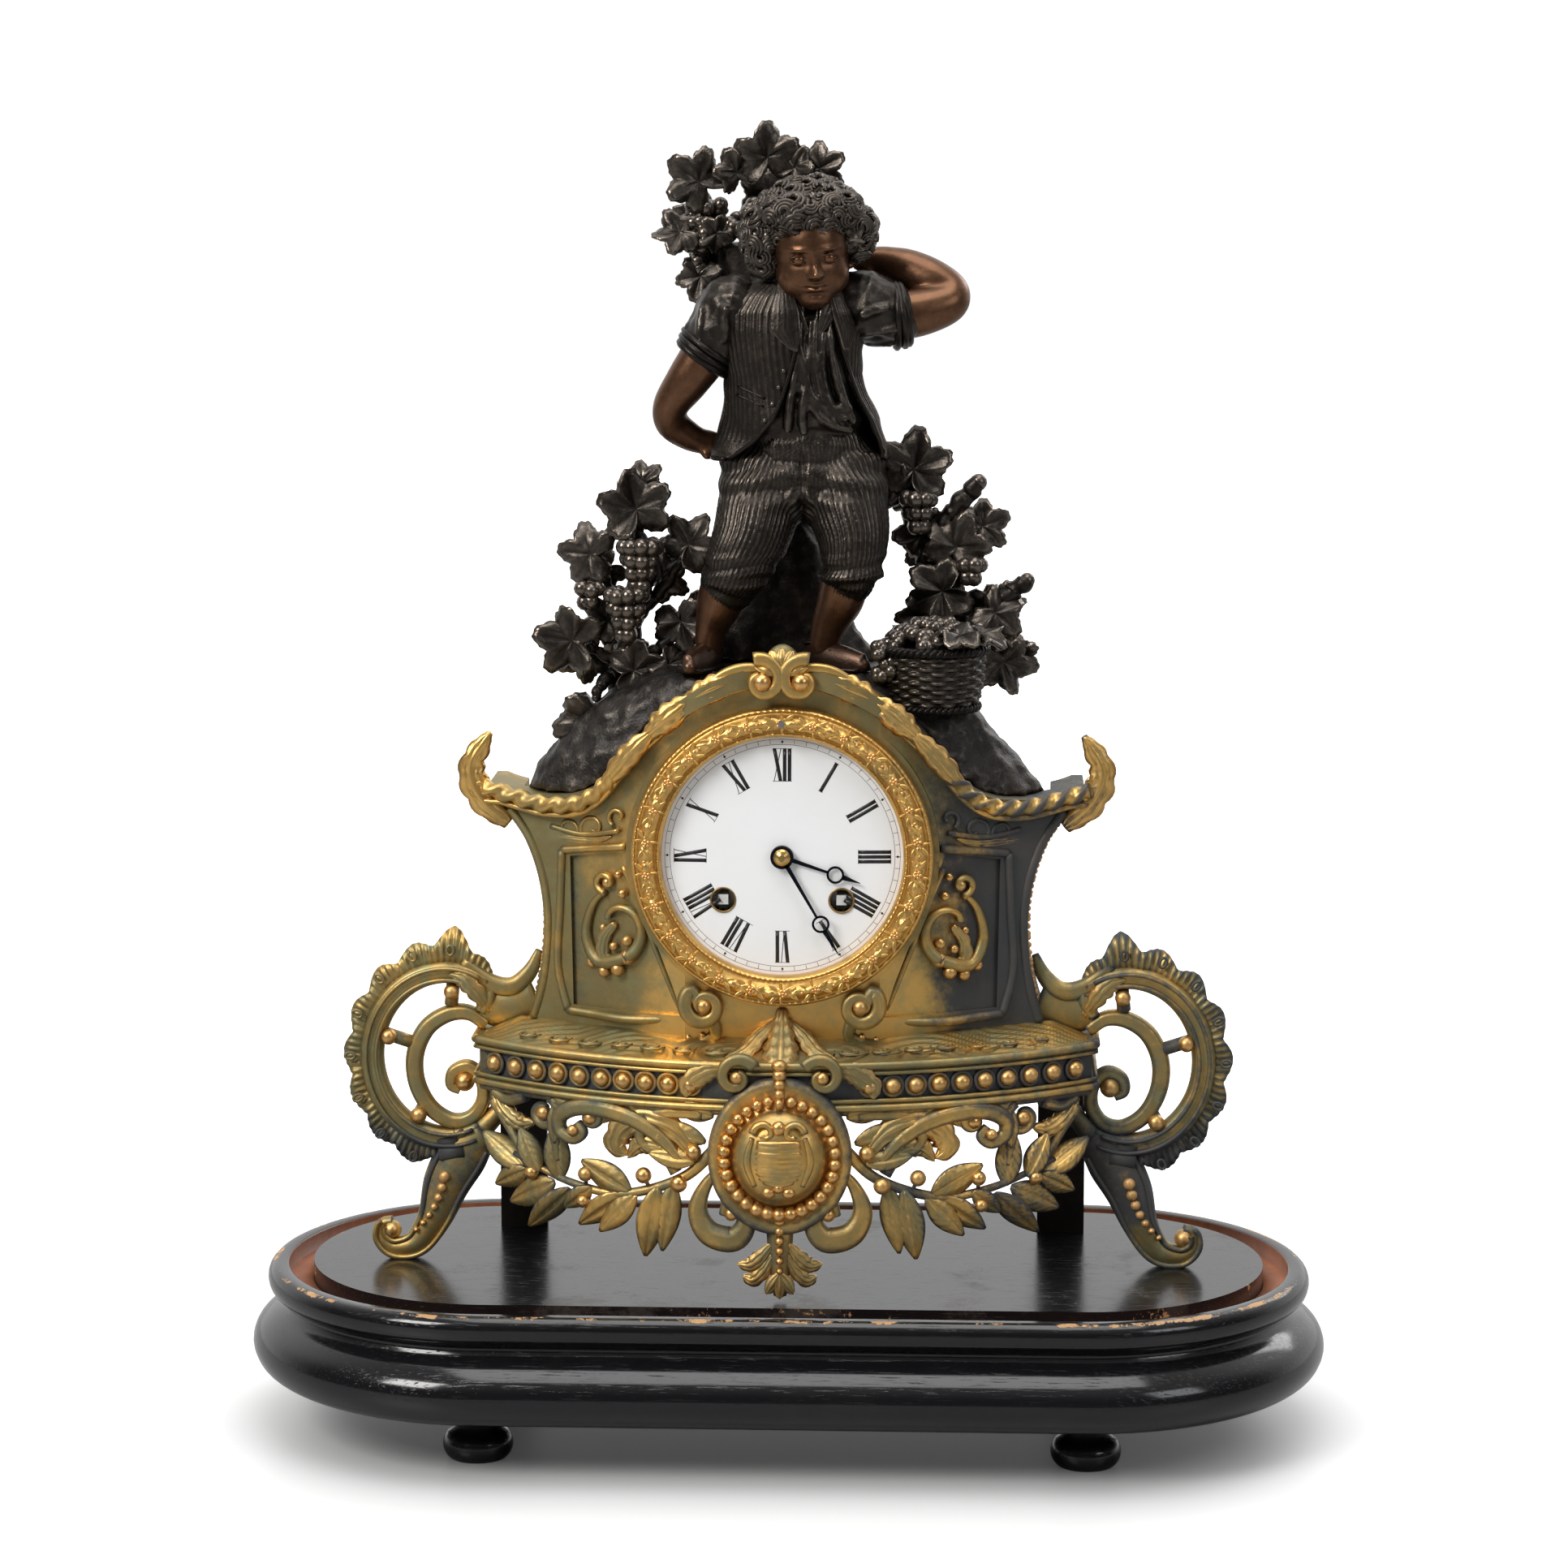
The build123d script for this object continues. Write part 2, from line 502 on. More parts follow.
def platform_plan(inset):
    half = PLATFORM_HALF - inset
    side = bow_front_y(half, inset)
    back = PLATFORM_BACK_Y - inset
    return make_face([ThreePointArc((-half, side), (0, bow_front_y(0, inset)), (half, side)),
                      Line((half, side), (half, back)), Line((half, back), (-half, back)),
                      Line((-half, back), (-half, side))])


def platform():
    height = PLATFORM_TOP - PLATFORM_BOTTOM
    wall = 2 * BEAD_RADIUS
    frieze_low = PLATFORM_BOTTOM + 0.2 * height
    frieze_high = frieze_low + 0.58 * height
    sunk = column(platform_plan(-OVERRUN), frieze_low, frieze_high)
    sunk -= column(platform_plan(BEAD_RADIUS / 2), frieze_low - OVERRUN, frieze_high + OVERRUN)
    deck = column(platform_plan(0), PLATFORM_BOTTOM, PLATFORM_TOP)
    hollow = column(platform_plan(wall), PLATFORM_BOTTOM - OVERRUN, PLATFORM_TOP - CASE_WALL)
    well = Pos(0, (BODY_SIDE_Y + BODY_BACK_Y) / 2, PLATFORM_TOP) * Box(
        1.5 * BODY_WAIST_HALF, BODY_BACK_Y - BODY_SIDE_Y - CASE_WALL, 4 * CASE_WALL)
    shell = deck - hollow - well - sunk
    beads = []
    reach = PLATFORM_HALF - 3 * BEAD_RADIUS
    first = CARTOUCHE_HALF_WIDTH + 2 * BEAD_RADIUS
    for i in range(BEADS_A_SIDE):
        x = first + (reach - first) * i / (BEADS_A_SIDE - 1)
        place = (x, bow_front_y(x, BEAD_RADIUS / 2), frieze_low + 0.29 * height)
        beads += [Pos(place) * Sphere(BEAD_RADIUS), Pos(-place[0], place[1], place[2]) * Sphere(BEAD_RADIUS)]
    node("platform", shell + beads)


def board_top():
    """Height of the face that the clock stands on."""
    return PLINTH_RIM_HEIGHT + TOP_BOARD_RISE


def side_scrolls():
    """Pierced C-scroll brackets with a scalloped edge, each ending in a front foot."""
    floor = board_top()
    reach = SCROLL_OUTER_X - PLATFORM_HALF
    cx = PLATFORM_HALF + 0.26 * reach
    cz = floor + 0.65 * (SCROLL_TOP_Z - floor)
    big = 0.58 * reach
    frill = 0.66 * reach
    roll = 0.17 * reach
    shell = spiral_band(0, 0, 1.04 * big, big, 128, -105, roll, roll)
    shell += spiral_band(0, 0, frill, frill, 112, -62, 0.6 * roll, 0.9 * roll)
    for i in range(SCALLOPS):
        angle = radians(106 - 164 * i / (SCALLOPS - 1))
        shell += disc(0.95 * frill * cos(angle), 0.95 * frill * sin(angle), 0.12 * reach)
    shell += spiral_band(-0.03 * reach, -0.06 * reach, 0.36 * reach, 0.13 * reach, 100, -250,
                         0.12 * reach, 0.08 * reach, 20)
    shell += disc(-0.08 * reach, -0.03 * reach, 0.09 * reach)
    shell += disc(0.43 * reach, 0.08 * reach, 0.09 * reach)
    shell += disc(0.22 * reach, -0.42 * reach, 0.09 * reach)
    shell += disc(0.02 * reach, 0.42 * reach, 0.12 * reach)
    face = Pos(cx, cz) * scale(shell, by=(1, SCROLL_STRETCH_SHARE, 1))
    face += make_face(Polyline(
        (PLATFORM_HALF, PLATFORM_BOTTOM), (PLATFORM_HALF, PLATFORM_TOP + 0.12 * reach),
        (cx - 0.1 * reach, cz + 0.68 * reach), (cx + 0.04 * reach, cz + 0.4 * reach), close=True))
    knee = cz - SCROLL_STRETCH_SHARE * big
    drop = knee - floor
    toe_x = cx + 0.44 * reach
    face += make_face([
        Spline((cx - 0.34 * reach, knee + 0.2 * drop), (cx - 0.08 * reach, floor + 0.55 * drop),
               (cx + 0.2 * reach, floor + 0.07 * drop), (toe_x, floor)),
        Line((toe_x, floor), (toe_x + 0.12 * reach, floor + 0.25 * drop)),
        Spline((toe_x + 0.12 * reach, floor + 0.25 * drop), (cx + 0.3 * reach, floor + 0.45 * drop),
               (cx + 0.26 * reach, knee + 0.12 * drop)),
        Line((cx + 0.26 * reach, knee + 0.12 * drop), (cx - 0.34 * reach, knee + 0.2 * drop))])
    face += disc(toe_x, floor + 0.15 * reach, 0.15 * reach)
    bracket = slab(face, SCROLL_Y - SCROLL_THICKNESS / 2, SCROLL_Y + SCROLL_THICKNESS / 2)
    bracket -= Pos(0, 0, PLATFORM_TOP) * Box(2 * PLATFORM_HALF, 4 * PLATFORM_BACK_Y, 2 * SCROLL_TOP_Z)
    bracket -= Pos(0, 0, floor - SCROLL_TOP_Z) * Box(4 * SCROLL_OUTER_X, 4 * PLATFORM_BACK_Y, 2 * SCROLL_TOP_Z)
    node("side_scroll_right", bracket)
    node("side_scroll_left", mirror(bracket, about=Plane.YZ))


def apron():
    """Pierced apron under the platform's bowed front, with its cartouche."""
    floor = board_top()
    rail = PLATFORM_BOTTOM - BEAD_RADIUS
    drop = PLATFORM_BOTTOM - floor
    leaf = 0.26 * drop
    inner = CARTOUCHE_HALF_WIDTH
    face = Pos(PLATFORM_HALF / 2, (PLATFORM_BOTTOM + rail) / 2) * Rectangle(
        PLATFORM_HALF - 2 * BEAD_RADIUS, PLATFORM_BOTTOM - rail)
    face += Pos(0, CARTOUCHE_Z) * Ellipse(0.7 * inner, 0.62 * CARTOUCHE_HALF_HEIGHT)
    stem = [(0.6 * inner, LAUREL_Z - 0.12 * drop), (0.42 * LAUREL_TIP_X, LAUREL_Z - 0.1 * drop),
            (0.7 * LAUREL_TIP_X, LAUREL_Z + 0.03 * drop), (LAUREL_TIP_X - leaf, LAUREL_Z + 0.06 * drop)]
    line = Spline(*stem)
    face += trace(line, 0.07 * drop)
    for i in range(LAUREL_LEAVES):
        share = (i + 0.6) / LAUREL_LEAVES
        at = line @ share
        along = degrees(atan2((line % share).Y, (line % share).X))
        face += blade(at.X, at.Y, leaf, 0.36 * leaf, along + 38)
        face += blade(at.X, at.Y, leaf, 0.36 * leaf, along - 38)
    end = line @ 1
    face += blade(end.X - 0.1 * leaf, end.Y, leaf, 0.36 * leaf, 0)
    scroll = 0.2 * drop
    for x_share, z_share, turn in APRON_VOLUTE_SHARES:
        x, z = x_share * PLATFORM_HALF, floor + z_share * drop
        face += spiral_band(x, z, scroll, 0.45 * scroll, turn, turn + 330, 0.42 * scroll, 0.3 * scroll)
        face += disc(x, z, 0.42 * scroll)
    face += trace(Spline((0.25 * PLATFORM_HALF, floor + 0.6 * drop), (0.45 * PLATFORM_HALF, floor + 0.74 * drop),
                         (0.62 * PLATFORM_HALF, rail)), 0.08 * drop)
    tip = floor + 2 * SEAT_GAP
    root = CARTOUCHE_Z - 0.45 * CARTOUCHE_HALF_HEIGHT
    face += blade(0, root, root - tip, 0.5 * (root - tip), -90)
    face += blade(0, root, 0.85 * (root - tip), 0.34 * (root - tip), -62)
    grille = slab(mirrored(face), bow_front_y(0) - OVERRUN, PLATFORM_BACK_Y)
    ring = rod_up(0, bow_centre_y(), floor, PLATFORM_BOTTOM, bow_radius())
    ring -= rod_up(0, bow_centre_y(), floor - OVERRUN, PLATFORM_BOTTOM + OVERRUN, bow_radius() - APRON_THICKNESS)
    pieces = (grille & ring).solids()
    node("apron", Part() + [piece for piece in pieces if piece.center().Y < SCROLL_Y])
    oval = Pos(0, CARTOUCHE_Z) * Ellipse(CARTOUCHE_HALF_WIDTH, CARTOUCHE_HALF_HEIGHT)
    front = bow_front_y(0) - APRON_THICKNESS
    plate = slab(oval, front, bow_front_y(CARTOUCHE_HALF_WIDTH) + APRON_THICKNESS)
    plate -= rod_up(0, bow_centre_y(), floor, PLATFORM_TOP + CARTOUCHE_Z, bow_radius())
    dish = slab(Pos(0, CARTOUCHE_Z) * Ellipse(0.76 * CARTOUCHE_HALF_WIDTH, 0.76 * CARTOUCHE_HALF_HEIGHT),
                front - OVERRUN, front + APRON_THICKNESS / 2)
    shield = slab(make_face([
        Line((-0.52 * inner, CARTOUCHE_Z + 0.5 * CARTOUCHE_HALF_HEIGHT),
             (0.52 * inner, CARTOUCHE_Z + 0.5 * CARTOUCHE_HALF_HEIGHT)),
        Spline((0.52 * inner, CARTOUCHE_Z + 0.5 * CARTOUCHE_HALF_HEIGHT), (0.5 * inner, CARTOUCHE_Z),
               (0, CARTOUCHE_Z - 0.6 * CARTOUCHE_HALF_HEIGHT)),
        Spline((0, CARTOUCHE_Z - 0.6 * CARTOUCHE_HALF_HEIGHT), (-0.5 * inner, CARTOUCHE_Z),
               (-0.52 * inner, CARTOUCHE_Z + 0.5 * CARTOUCHE_HALF_HEIGHT))]),
        front, front + APRON_THICKNESS / 2)
    node("cartouche", plate - dish + shield)


def case_ornaments():
    """Cast motifs on the case front: volutes under the dial and rocaille scrolls on the side panels."""
    low = PLATFORM_TOP
    high = DIAL_Z - BEZEL_OUTER_RADIUS
    size = 0.5 * (high - low)
    x = 0.55 * BEZEL_OUTER_RADIUS
    face = spiral_band(x, low + size, 0.85 * size, 0.3 * size, -60, 300, 0.34 * size, 0.22 * size)
    face += disc(x, low + size, 0.34 * size)
    face += trace(Spline((x + 0.1 * size, low + 0.2 * size), (0.5 * x, low + 0.25 * size), (0, low + 0.9 * size)),
                  0.35 * size)
    relief = DIAL_FRONT_Y - CASE_WALL
    volutes = slab(mirrored(face), relief, DIAL_FRONT_Y + 1.5 * CASE_WALL) - NODES["case_body"]
    volutes = volutes - NODES["platform"]
    mid = (PLATFORM_TOP + BODY_WAIST_Z) / 2
    curl = 0.16 * (BODY_TOP_Z - PLATFORM_TOP)
    px = 0.72 * BODY_WAIST_HALF
    motif = spiral_band(px, mid + 0.6 * curl, 0.9 * curl, 0.4 * curl, -80, 210, 0.3 * curl, 0.22 * curl)
    motif += spiral_band(px - 0.1 * curl, mid - 0.9 * curl, 0.6 * curl, 0.3 * curl, 80, 380, 0.26 * curl, 0.2 * curl)
    for angle in (35, 70, 105, 140):
        motif += blade(px, mid + 0.9 * curl, 1.7 * curl, 0.42 * curl, angle)
    relief_body = body_solid(0) - body_solid(CASE_WALL / 2)
    cast = slab(mirrored(motif), DIAL_FRONT_Y, 0) & relief_body
    cast -= NODES["case_body"]
    node("case_ornaments", Compound(volutes.solids() + cast.solids()))


def rear_legs():
    """Plain straps that carry the back of the platform."""
    strap = Box(REAR_LEG_WIDTH, REAR_LEG_THICKNESS, PLATFORM_BOTTOM - board_top(),
                align=(Align.CENTER, Align.MAX, Align.MIN))
    node("rear_legs", Compound([Pos(side * REAR_LEG_X, PLATFORM_BACK_Y, board_top()) * strap for side in (-1, 1)]))


# Dial, bezel and hands

def bezel_and_dial():
    front = DIAL_FRONT_Y - BEZEL_HEIGHT
    step = (BEZEL_OUTER_RADIUS - BEZEL_INNER_RADIUS) / 6
    flange = DIAL_FRONT_Y - BEZEL_FLANGE
    bezel = turned([(BEZEL_OUTER_RADIUS, DIAL_FRONT_Y), (BEZEL_OUTER_RADIUS, flange),
                    (BEZEL_OUTER_RADIUS - step, flange - BEZEL_FLANGE),
                    (BEZEL_OUTER_RADIUS - 2.6 * step, front + 0.4 * BEZEL_FLANGE),
                    (BEZEL_OUTER_RADIUS - 4 * step, front), (BEZEL_INNER_RADIUS + step, front + 0.3 * BEZEL_FLANGE),
                    (BEZEL_INNER_RADIUS, front + 1.6 * BEZEL_FLANGE), (BEZEL_INNER_RADIUS, DIAL_FRONT_Y)], 0, DIAL_Z)
    bezel -= rod(0, DIAL_Z + REGULATOR_RISE, front - OVERRUN, DIAL_FRONT_Y + OVERRUN, REGULATOR_RADIUS + RUNNING_GAP)
    node("bezel", bezel)
    edge = dial_seat_y() - DIAL_THICKNESS
    crown = edge - DIAL_DOME
    disc_outline = make_face([
        ThreePointArc((0, crown), (0.5 * DIAL_RADIUS, edge - 0.75 * DIAL_DOME), (DIAL_RADIUS, edge)),
        Line((DIAL_RADIUS, edge), (DIAL_RADIUS, dial_seat_y())),
        ThreePointArc((DIAL_RADIUS, dial_seat_y()), (0.5 * DIAL_RADIUS, dial_seat_y() - 0.75 * DIAL_DOME),
                      (0, crown + DIAL_THICKNESS)),
        Line((0, crown + DIAL_THICKNESS), (0, crown))])
    enamel = Pos(0, 0, DIAL_Z) * revolve(disc_outline, Axis.Y)
    seat = dial_seat_y() + OVERRUN
    enamel -= rod(0, DIAL_Z, crown - OVERRUN, seat, CENTRE_HOLE_RADIUS)
    for side in (-1, 1):
        enamel -= rod(side * WINDING_X, DIAL_Z - WINDING_DROP, crown - OVERRUN, seat, WINDING_HOLE_RADIUS)
    for angle in (60, 180, 300):
        x = DIAL_FOOT_CIRCLE * cos(radians(angle))
        z = DIAL_Z + DIAL_FOOT_CIRCLE * sin(radians(angle))
        enamel += rod(x, z, edge, FRONT_PLATE_Y, DIAL_FOOT_RADIUS)
    node("dial", enamel)
    outer = DIAL_RADIUS + DIAL_SEAT_GAP - SEAT_GAP / 2
    ring = turned([(outer, dial_seat_y()), (outer, FRONT_PLATE_Y), (PLATE_RADIUS - RING_LIP, FRONT_PLATE_Y),
                   (PLATE_RADIUS - RING_LIP, FRONT_PLATE_Y - RING_LIP), (outer - RING_LIP, FRONT_PLATE_Y - RING_LIP),
                   (outer - RING_LIP, dial_seat_y())], 0, DIAL_Z)
    node("movement_ring", ring)


def dial_seat_y():
    """Depth of the ring face that the dial lies on."""
    return DIAL_FRONT_Y + DIAL_THICKNESS + SEAT_GAP


def hand_face(length, boss):
    """Open-moon hand pointing along +X."""
    half = HAND_SHAFT / 2
    moon = 0.68 * length
    face = make_face(Polyline((0, -half), (moon, -0.6 * half), (moon, 0.6 * half), (0, half), close=True))
    face += Pos(moon, 0) * (Circle(MOON_RADIUS) - Pos(0.16 * MOON_RADIUS, 0) * Circle(0.66 * MOON_RADIUS))
    face += make_face(Polyline((moon + 0.9 * MOON_RADIUS, -half), (length, 0), (moon + 0.9 * MOON_RADIUS, half),
                               close=True))
    return face + Circle(2 * HAND_SHAFT) - Circle(boss)


def hands():
    hour_y = hour_hand_y()
    minute_y = hour_y - 2 * HAND_THICKNESS - SEAT_GAP
    hour = Rot(0, 0, HOUR_HAND_ANGLE) * hand_face(HOUR_HAND_LENGTH, hour_pipe_radius())
    minute = Rot(0, 0, MINUTE_HAND_ANGLE) * hand_face(MINUTE_HAND_LENGTH, cannon_radius())
    node("hour_hand", slab(Pos(0, DIAL_Z) * hour, hour_y - HAND_THICKNESS, hour_y))
    node("minute_hand", slab(Pos(0, DIAL_Z) * minute, minute_y - HAND_THICKNESS, minute_y))
    nut_y = minute_y - HAND_THICKNESS
    node("hand_collet", turned([(ARBOR_RADIUS + RUNNING_GAP, nut_y), (1.8 * HAND_SHAFT, nut_y),
                                (1.4 * HAND_SHAFT, nut_y - HAND_THICKNESS), (ARBOR_RADIUS + RUNNING_GAP,
                                nut_y - 2 * HAND_THICKNESS)], 0, DIAL_Z))


def hour_hand_y():
    """Back of the hour hand, just clear of the dial's crown."""
    return dial_seat_y() - DIAL_THICKNESS - DIAL_DOME - 2 * SEAT_GAP


def cannon_radius():
    return ARBOR_RADIUS + RUNNING_GAP + CANNON_WALL


def hour_pipe_radius():
    return cannon_radius() + RUNNING_GAP + CANNON_WALL


# Movement

def gear(x, z, y_front, teeth, module, bore, phase=0, thickness=WHEEL_THICKNESS):
    """Wheel with thin pointed teeth; x and z are measured from the dial centre."""
    pitch = module * teeth / 2
    tip, root = pitch + 0.55 * module, pitch - 0.75 * module
    points = []
    for i in range(teeth):
        for share, radius in ((0, tip), (0.5, root)):
            angle = radians(phase) + 2 * pi * (i + share) / teeth
            points.append((x + radius * cos(angle), DIAL_Z + z + radius * sin(angle)))
    face = make_face(Polyline(*points, close=True))
    if bore:
        face -= disc(x, DIAL_Z + z, bore)
    return slab(face, y_front, y_front + thickness)


def mesh_phase(ax, az, a_teeth, a_phase, bx, bz, b_teeth):
    """Turn of wheel b, in degrees, that puts its gaps on the teeth of wheel a."""
    line = degrees(atan2(bz - az, bx - ax))
    offset = (a_phase - line) * a_teeth / 360
    return line + 180 - (offset + 0.5) * 360 / b_teeth


def crossing(ax, az, reach_a, bx, bz, reach_b):
    """Place at given distances from two places, on the left of the line from a to b."""
    span = hypot(bx - ax, bz - az)
    along = (reach_a ** 2 - reach_b ** 2 + span ** 2) / (2 * span)
    across = sqrt(reach_a ** 2 - along ** 2)
    ux, uz = (bx - ax) / span, (bz - az) / span
    return ax + along * ux - across * uz, az + along * uz + across * ux


def back_plate_y():
    """Front face of the back plate."""
    return FRONT_PLATE_Y + PLATE_THICKNESS + PLATE_GAP


def arbor(x, z, y_front, y_back):
    """Train arbor between the plates, with a pivot in each plate."""
    gap = SEAT_GAP / 2
    bar = rod(x, DIAL_Z + z, FRONT_PLATE_Y + PLATE_THICKNESS + gap, back_plate_y() - gap, ARBOR_RADIUS)
    return bar + rod(x, DIAL_Z + z, y_front, y_back, PIVOT_RADIUS)


def train_places():
    """Arbor places of both trains, from the dial centre."""
    barrel_reach = BARREL_MODULE * (BARREL_TEETH + BARREL_PINION_LEAVES) / 2
    centre_reach = TRAIN_MODULE * (TRAIN_TEETH + CENTRE_PINION_LEAVES) / 2
    third_reach = THIRD_DRIVE_MODULE * (TRAIN_TEETH + PINION_LEAVES) / 2
    escape_reach = THIRD_MODULE * (THIRD_TEETH + PINION_LEAVES) / 2
    fly_reach = TRAIN_MODULE * (PIN_WHEEL_TEETH + PINION_LEAVES) / 2
    places = {"going": (WINDING_X, -WINDING_DROP), "strike": (-WINDING_X, -WINDING_DROP), "centre": (0, 0)}
    places["intermediate"] = crossing(0, 0, centre_reach, WINDING_X, -WINDING_DROP, barrel_reach)
    places["third"] = (-0.6 * third_reach, 0.8 * third_reach)
    drop = sqrt(escape_reach ** 2 - places["third"][0] ** 2)
    places["escape"] = (0, places["third"][1] + drop)
    places["pin"] = (-WINDING_X - 0.19 * barrel_reach, -WINDING_DROP + sqrt(1 - 0.19 ** 2) * barrel_reach)
    places["fly"] = (places["pin"][0] + 0.23 * fly_reach, places["pin"][1] + sqrt(1 - 0.23 ** 2) * fly_reach)
    return places


def plates():
    places = train_places()
    front_back = FRONT_PLATE_Y + PLATE_THICKNESS
    back = back_plate_y()
    rear = back + PLATE_THICKNESS
    front_plate = rod(0, DIAL_Z, FRONT_PLATE_Y, front_back, PLATE_RADIUS)
    back_plate = rod(0, DIAL_Z, back, rear, PLATE_RADIUS)
    pillars = []
    for angle in PILLAR_ANGLES:
        x, z = PILLAR_CIRCLE * cos(radians(angle)), DIAL_Z + PILLAR_CIRCLE * sin(radians(angle))
        pillars.append(rod(x, z, front_back, back, PILLAR_RADIUS))
    for name, (x, z) in places.items():
        hole = PIVOT_RADIUS + RUNNING_GAP
        front_hole = hole
        if name in ("going", "strike"):
            hole = front_hole = WINDING_ARBOR_RADIUS + RUNNING_GAP
        if name == "centre":
            front_hole = ARBOR_RADIUS + RUNNING_GAP
        front_plate -= rod(x, DIAL_Z + z, FRONT_PLATE_Y - OVERRUN, front_back + OVERRUN, front_hole)
        back_plate -= rod(x, DIAL_Z + z, back - OVERRUN, rear + OVERRUN, hole)
    front_plate -= rod(0, DIAL_Z + ANCHOR_RISE, FRONT_PLATE_Y - OVERRUN, front_back + OVERRUN,
                       PIVOT_RADIUS + RUNNING_GAP)
    back_plate -= rod(0, DIAL_Z + ANCHOR_RISE, back - OVERRUN, rear + OVERRUN, ARBOR_RADIUS + RUNNING_GAP)
    hammer_z = DIAL_Z + HAMMER_RISE
    back_plate -= rod(HAMMER_X, hammer_z, back - OVERRUN, rear + OVERRUN, PIVOT_RADIUS + RUNNING_GAP)
    front_plate -= rod(HAMMER_X, hammer_z, FRONT_PLATE_Y - OVERRUN, front_back + OVERRUN, PIVOT_RADIUS + RUNNING_GAP)
    node("front_plate", front_plate)
    node("back_plate", back_plate + pillars)


def trains():
    at = train_places()
    gap = SEAT_GAP
    front_back = FRONT_PLATE_Y + PLATE_THICKNESS
    back = back_plate_y()
    rear = back + PLATE_THICKNESS
    high = front_back + WHEEL_THICKNESS
    barrel_y = back - 3 * WHEEL_THICKNESS - gap
    drum_y = barrel_y - gap - BARREL_LENGTH
    low = back - WHEEL_THICKNESS - gap
    bore = WINDING_ARBOR_RADIUS + RUNNING_GAP
    for name in ("going", "strike"):
        x, z = at[name]
        drum = tube(x, DIAL_Z + z, drum_y, barrel_y + gap, BARREL_RADIUS, bore)
        node(name + "_barrel", drum + gear(x, z, barrel_y, BARREL_TEETH, BARREL_MODULE, bore))
        square = slab(Pos(x, DIAL_Z + z) * Rectangle(WINDING_SQUARE, WINDING_SQUARE),
                      DIAL_FRONT_Y - SEAT_GAP, FRONT_PLATE_Y - WHEEL_THICKNESS)
        stem = rod(x, DIAL_Z + z, FRONT_PLATE_Y - WHEEL_THICKNESS, rear, WINDING_ARBOR_RADIUS)
        ratchet = ratchet_wheel(x, z, FRONT_PLATE_Y - WHEEL_THICKNESS - gap)
        node(name + "_winding_arbor", stem + square + ratchet)
    ix, iz = at["intermediate"]
    gx, gz = at["going"]
    pinion = mesh_phase(gx, gz, BARREL_TEETH, 0, ix, iz, BARREL_PINION_LEAVES)
    wheel = gear(ix, iz, high, TRAIN_TEETH, TRAIN_MODULE, 0)
    wheel += gear(ix, iz, barrel_y, BARREL_PINION_LEAVES, BARREL_MODULE, 0, pinion)
    node("intermediate_wheel", wheel + arbor(ix, iz, FRONT_PLATE_Y, rear))
    pinion = mesh_phase(ix, iz, TRAIN_TEETH, 0, 0, 0, CENTRE_PINION_LEAVES)
    wheel = gear(0, 0, high, CENTRE_PINION_LEAVES, TRAIN_MODULE, 0, pinion)
    wheel += gear(0, 0, low, TRAIN_TEETH, THIRD_DRIVE_MODULE, 0)
    wheel += arbor(0, 0, FRONT_PLATE_Y, rear)
    wheel += rod(0, DIAL_Z, hour_hand_y() - 7 * HAND_THICKNESS, front_back + gap, ARBOR_RADIUS)
    node("centre_wheel", wheel)
    tx, tz = at["third"]
    pinion = mesh_phase(0, 0, TRAIN_TEETH, 0, tx, tz, PINION_LEAVES)
    middle = (drum_y + barrel_y) / 2
    wheel = gear(tx, tz, low, PINION_LEAVES, THIRD_DRIVE_MODULE, 0, pinion)
    wheel += gear(tx, tz, middle, THIRD_TEETH, THIRD_MODULE, 0)
    node("third_wheel", wheel + arbor(tx, tz, FRONT_PLATE_Y, rear))
    ex, ez = at["escape"]
    pinion = mesh_phase(tx, tz, THIRD_TEETH, 0, ex, ez, PINION_LEAVES)
    wheel = gear(ex, ez, middle, PINION_LEAVES, THIRD_MODULE, 0, pinion)
    escape_module = 2 * ESCAPE_RADIUS / ESCAPE_TEETH
    wheel += gear(ex, ez, middle + 3 * WHEEL_THICKNESS, ESCAPE_TEETH, escape_module, 0)
    node("escape_wheel", wheel + arbor(ex, ez, FRONT_PLATE_Y, rear))
    sx, sz = at["strike"]
    px, pz = at["pin"]
    pinion = mesh_phase(sx, sz, BARREL_TEETH, 0, px, pz, BARREL_PINION_LEAVES)
    wheel = gear(px, pz, high, PIN_WHEEL_TEETH, TRAIN_MODULE, 0)
    wheel += gear(px, pz, barrel_y, BARREL_PINION_LEAVES, BARREL_MODULE, 0, pinion)
    node("pin_wheel", wheel + arbor(px, pz, FRONT_PLATE_Y, rear))
    fx, fz = at["fly"]
    pinion = mesh_phase(px, pz, PIN_WHEEL_TEETH, 0, fx, fz, PINION_LEAVES)
    fly = gear(fx, fz, high, PINION_LEAVES, TRAIN_MODULE, 0, pinion)
    vane = Pos(fx, DIAL_Z + fz) * Rectangle(4 * BARREL_MODULE * PINION_LEAVES / 2, WHEEL_THICKNESS)
    fly += slab(vane, drum_y + 2 * WHEEL_THICKNESS, barrel_y)
    node("fly", fly + arbor(fx, fz, FRONT_PLATE_Y, rear))


def ratchet_wheel(x, z, y_front):
    """Saw-toothed ratchet on a winding arbor."""
    points = []
    for i in range(RATCHET_TEETH):
        for share, radius in ((0, RATCHET_RADIUS), (0.92, 0.8 * RATCHET_RADIUS)):
            angle = 2 * pi * (i + share) / RATCHET_TEETH
            points.append((x + radius * cos(angle), DIAL_Z + z + radius * sin(angle)))
    return slab(make_face(Polyline(*points, close=True)), y_front, y_front + WHEEL_THICKNESS)


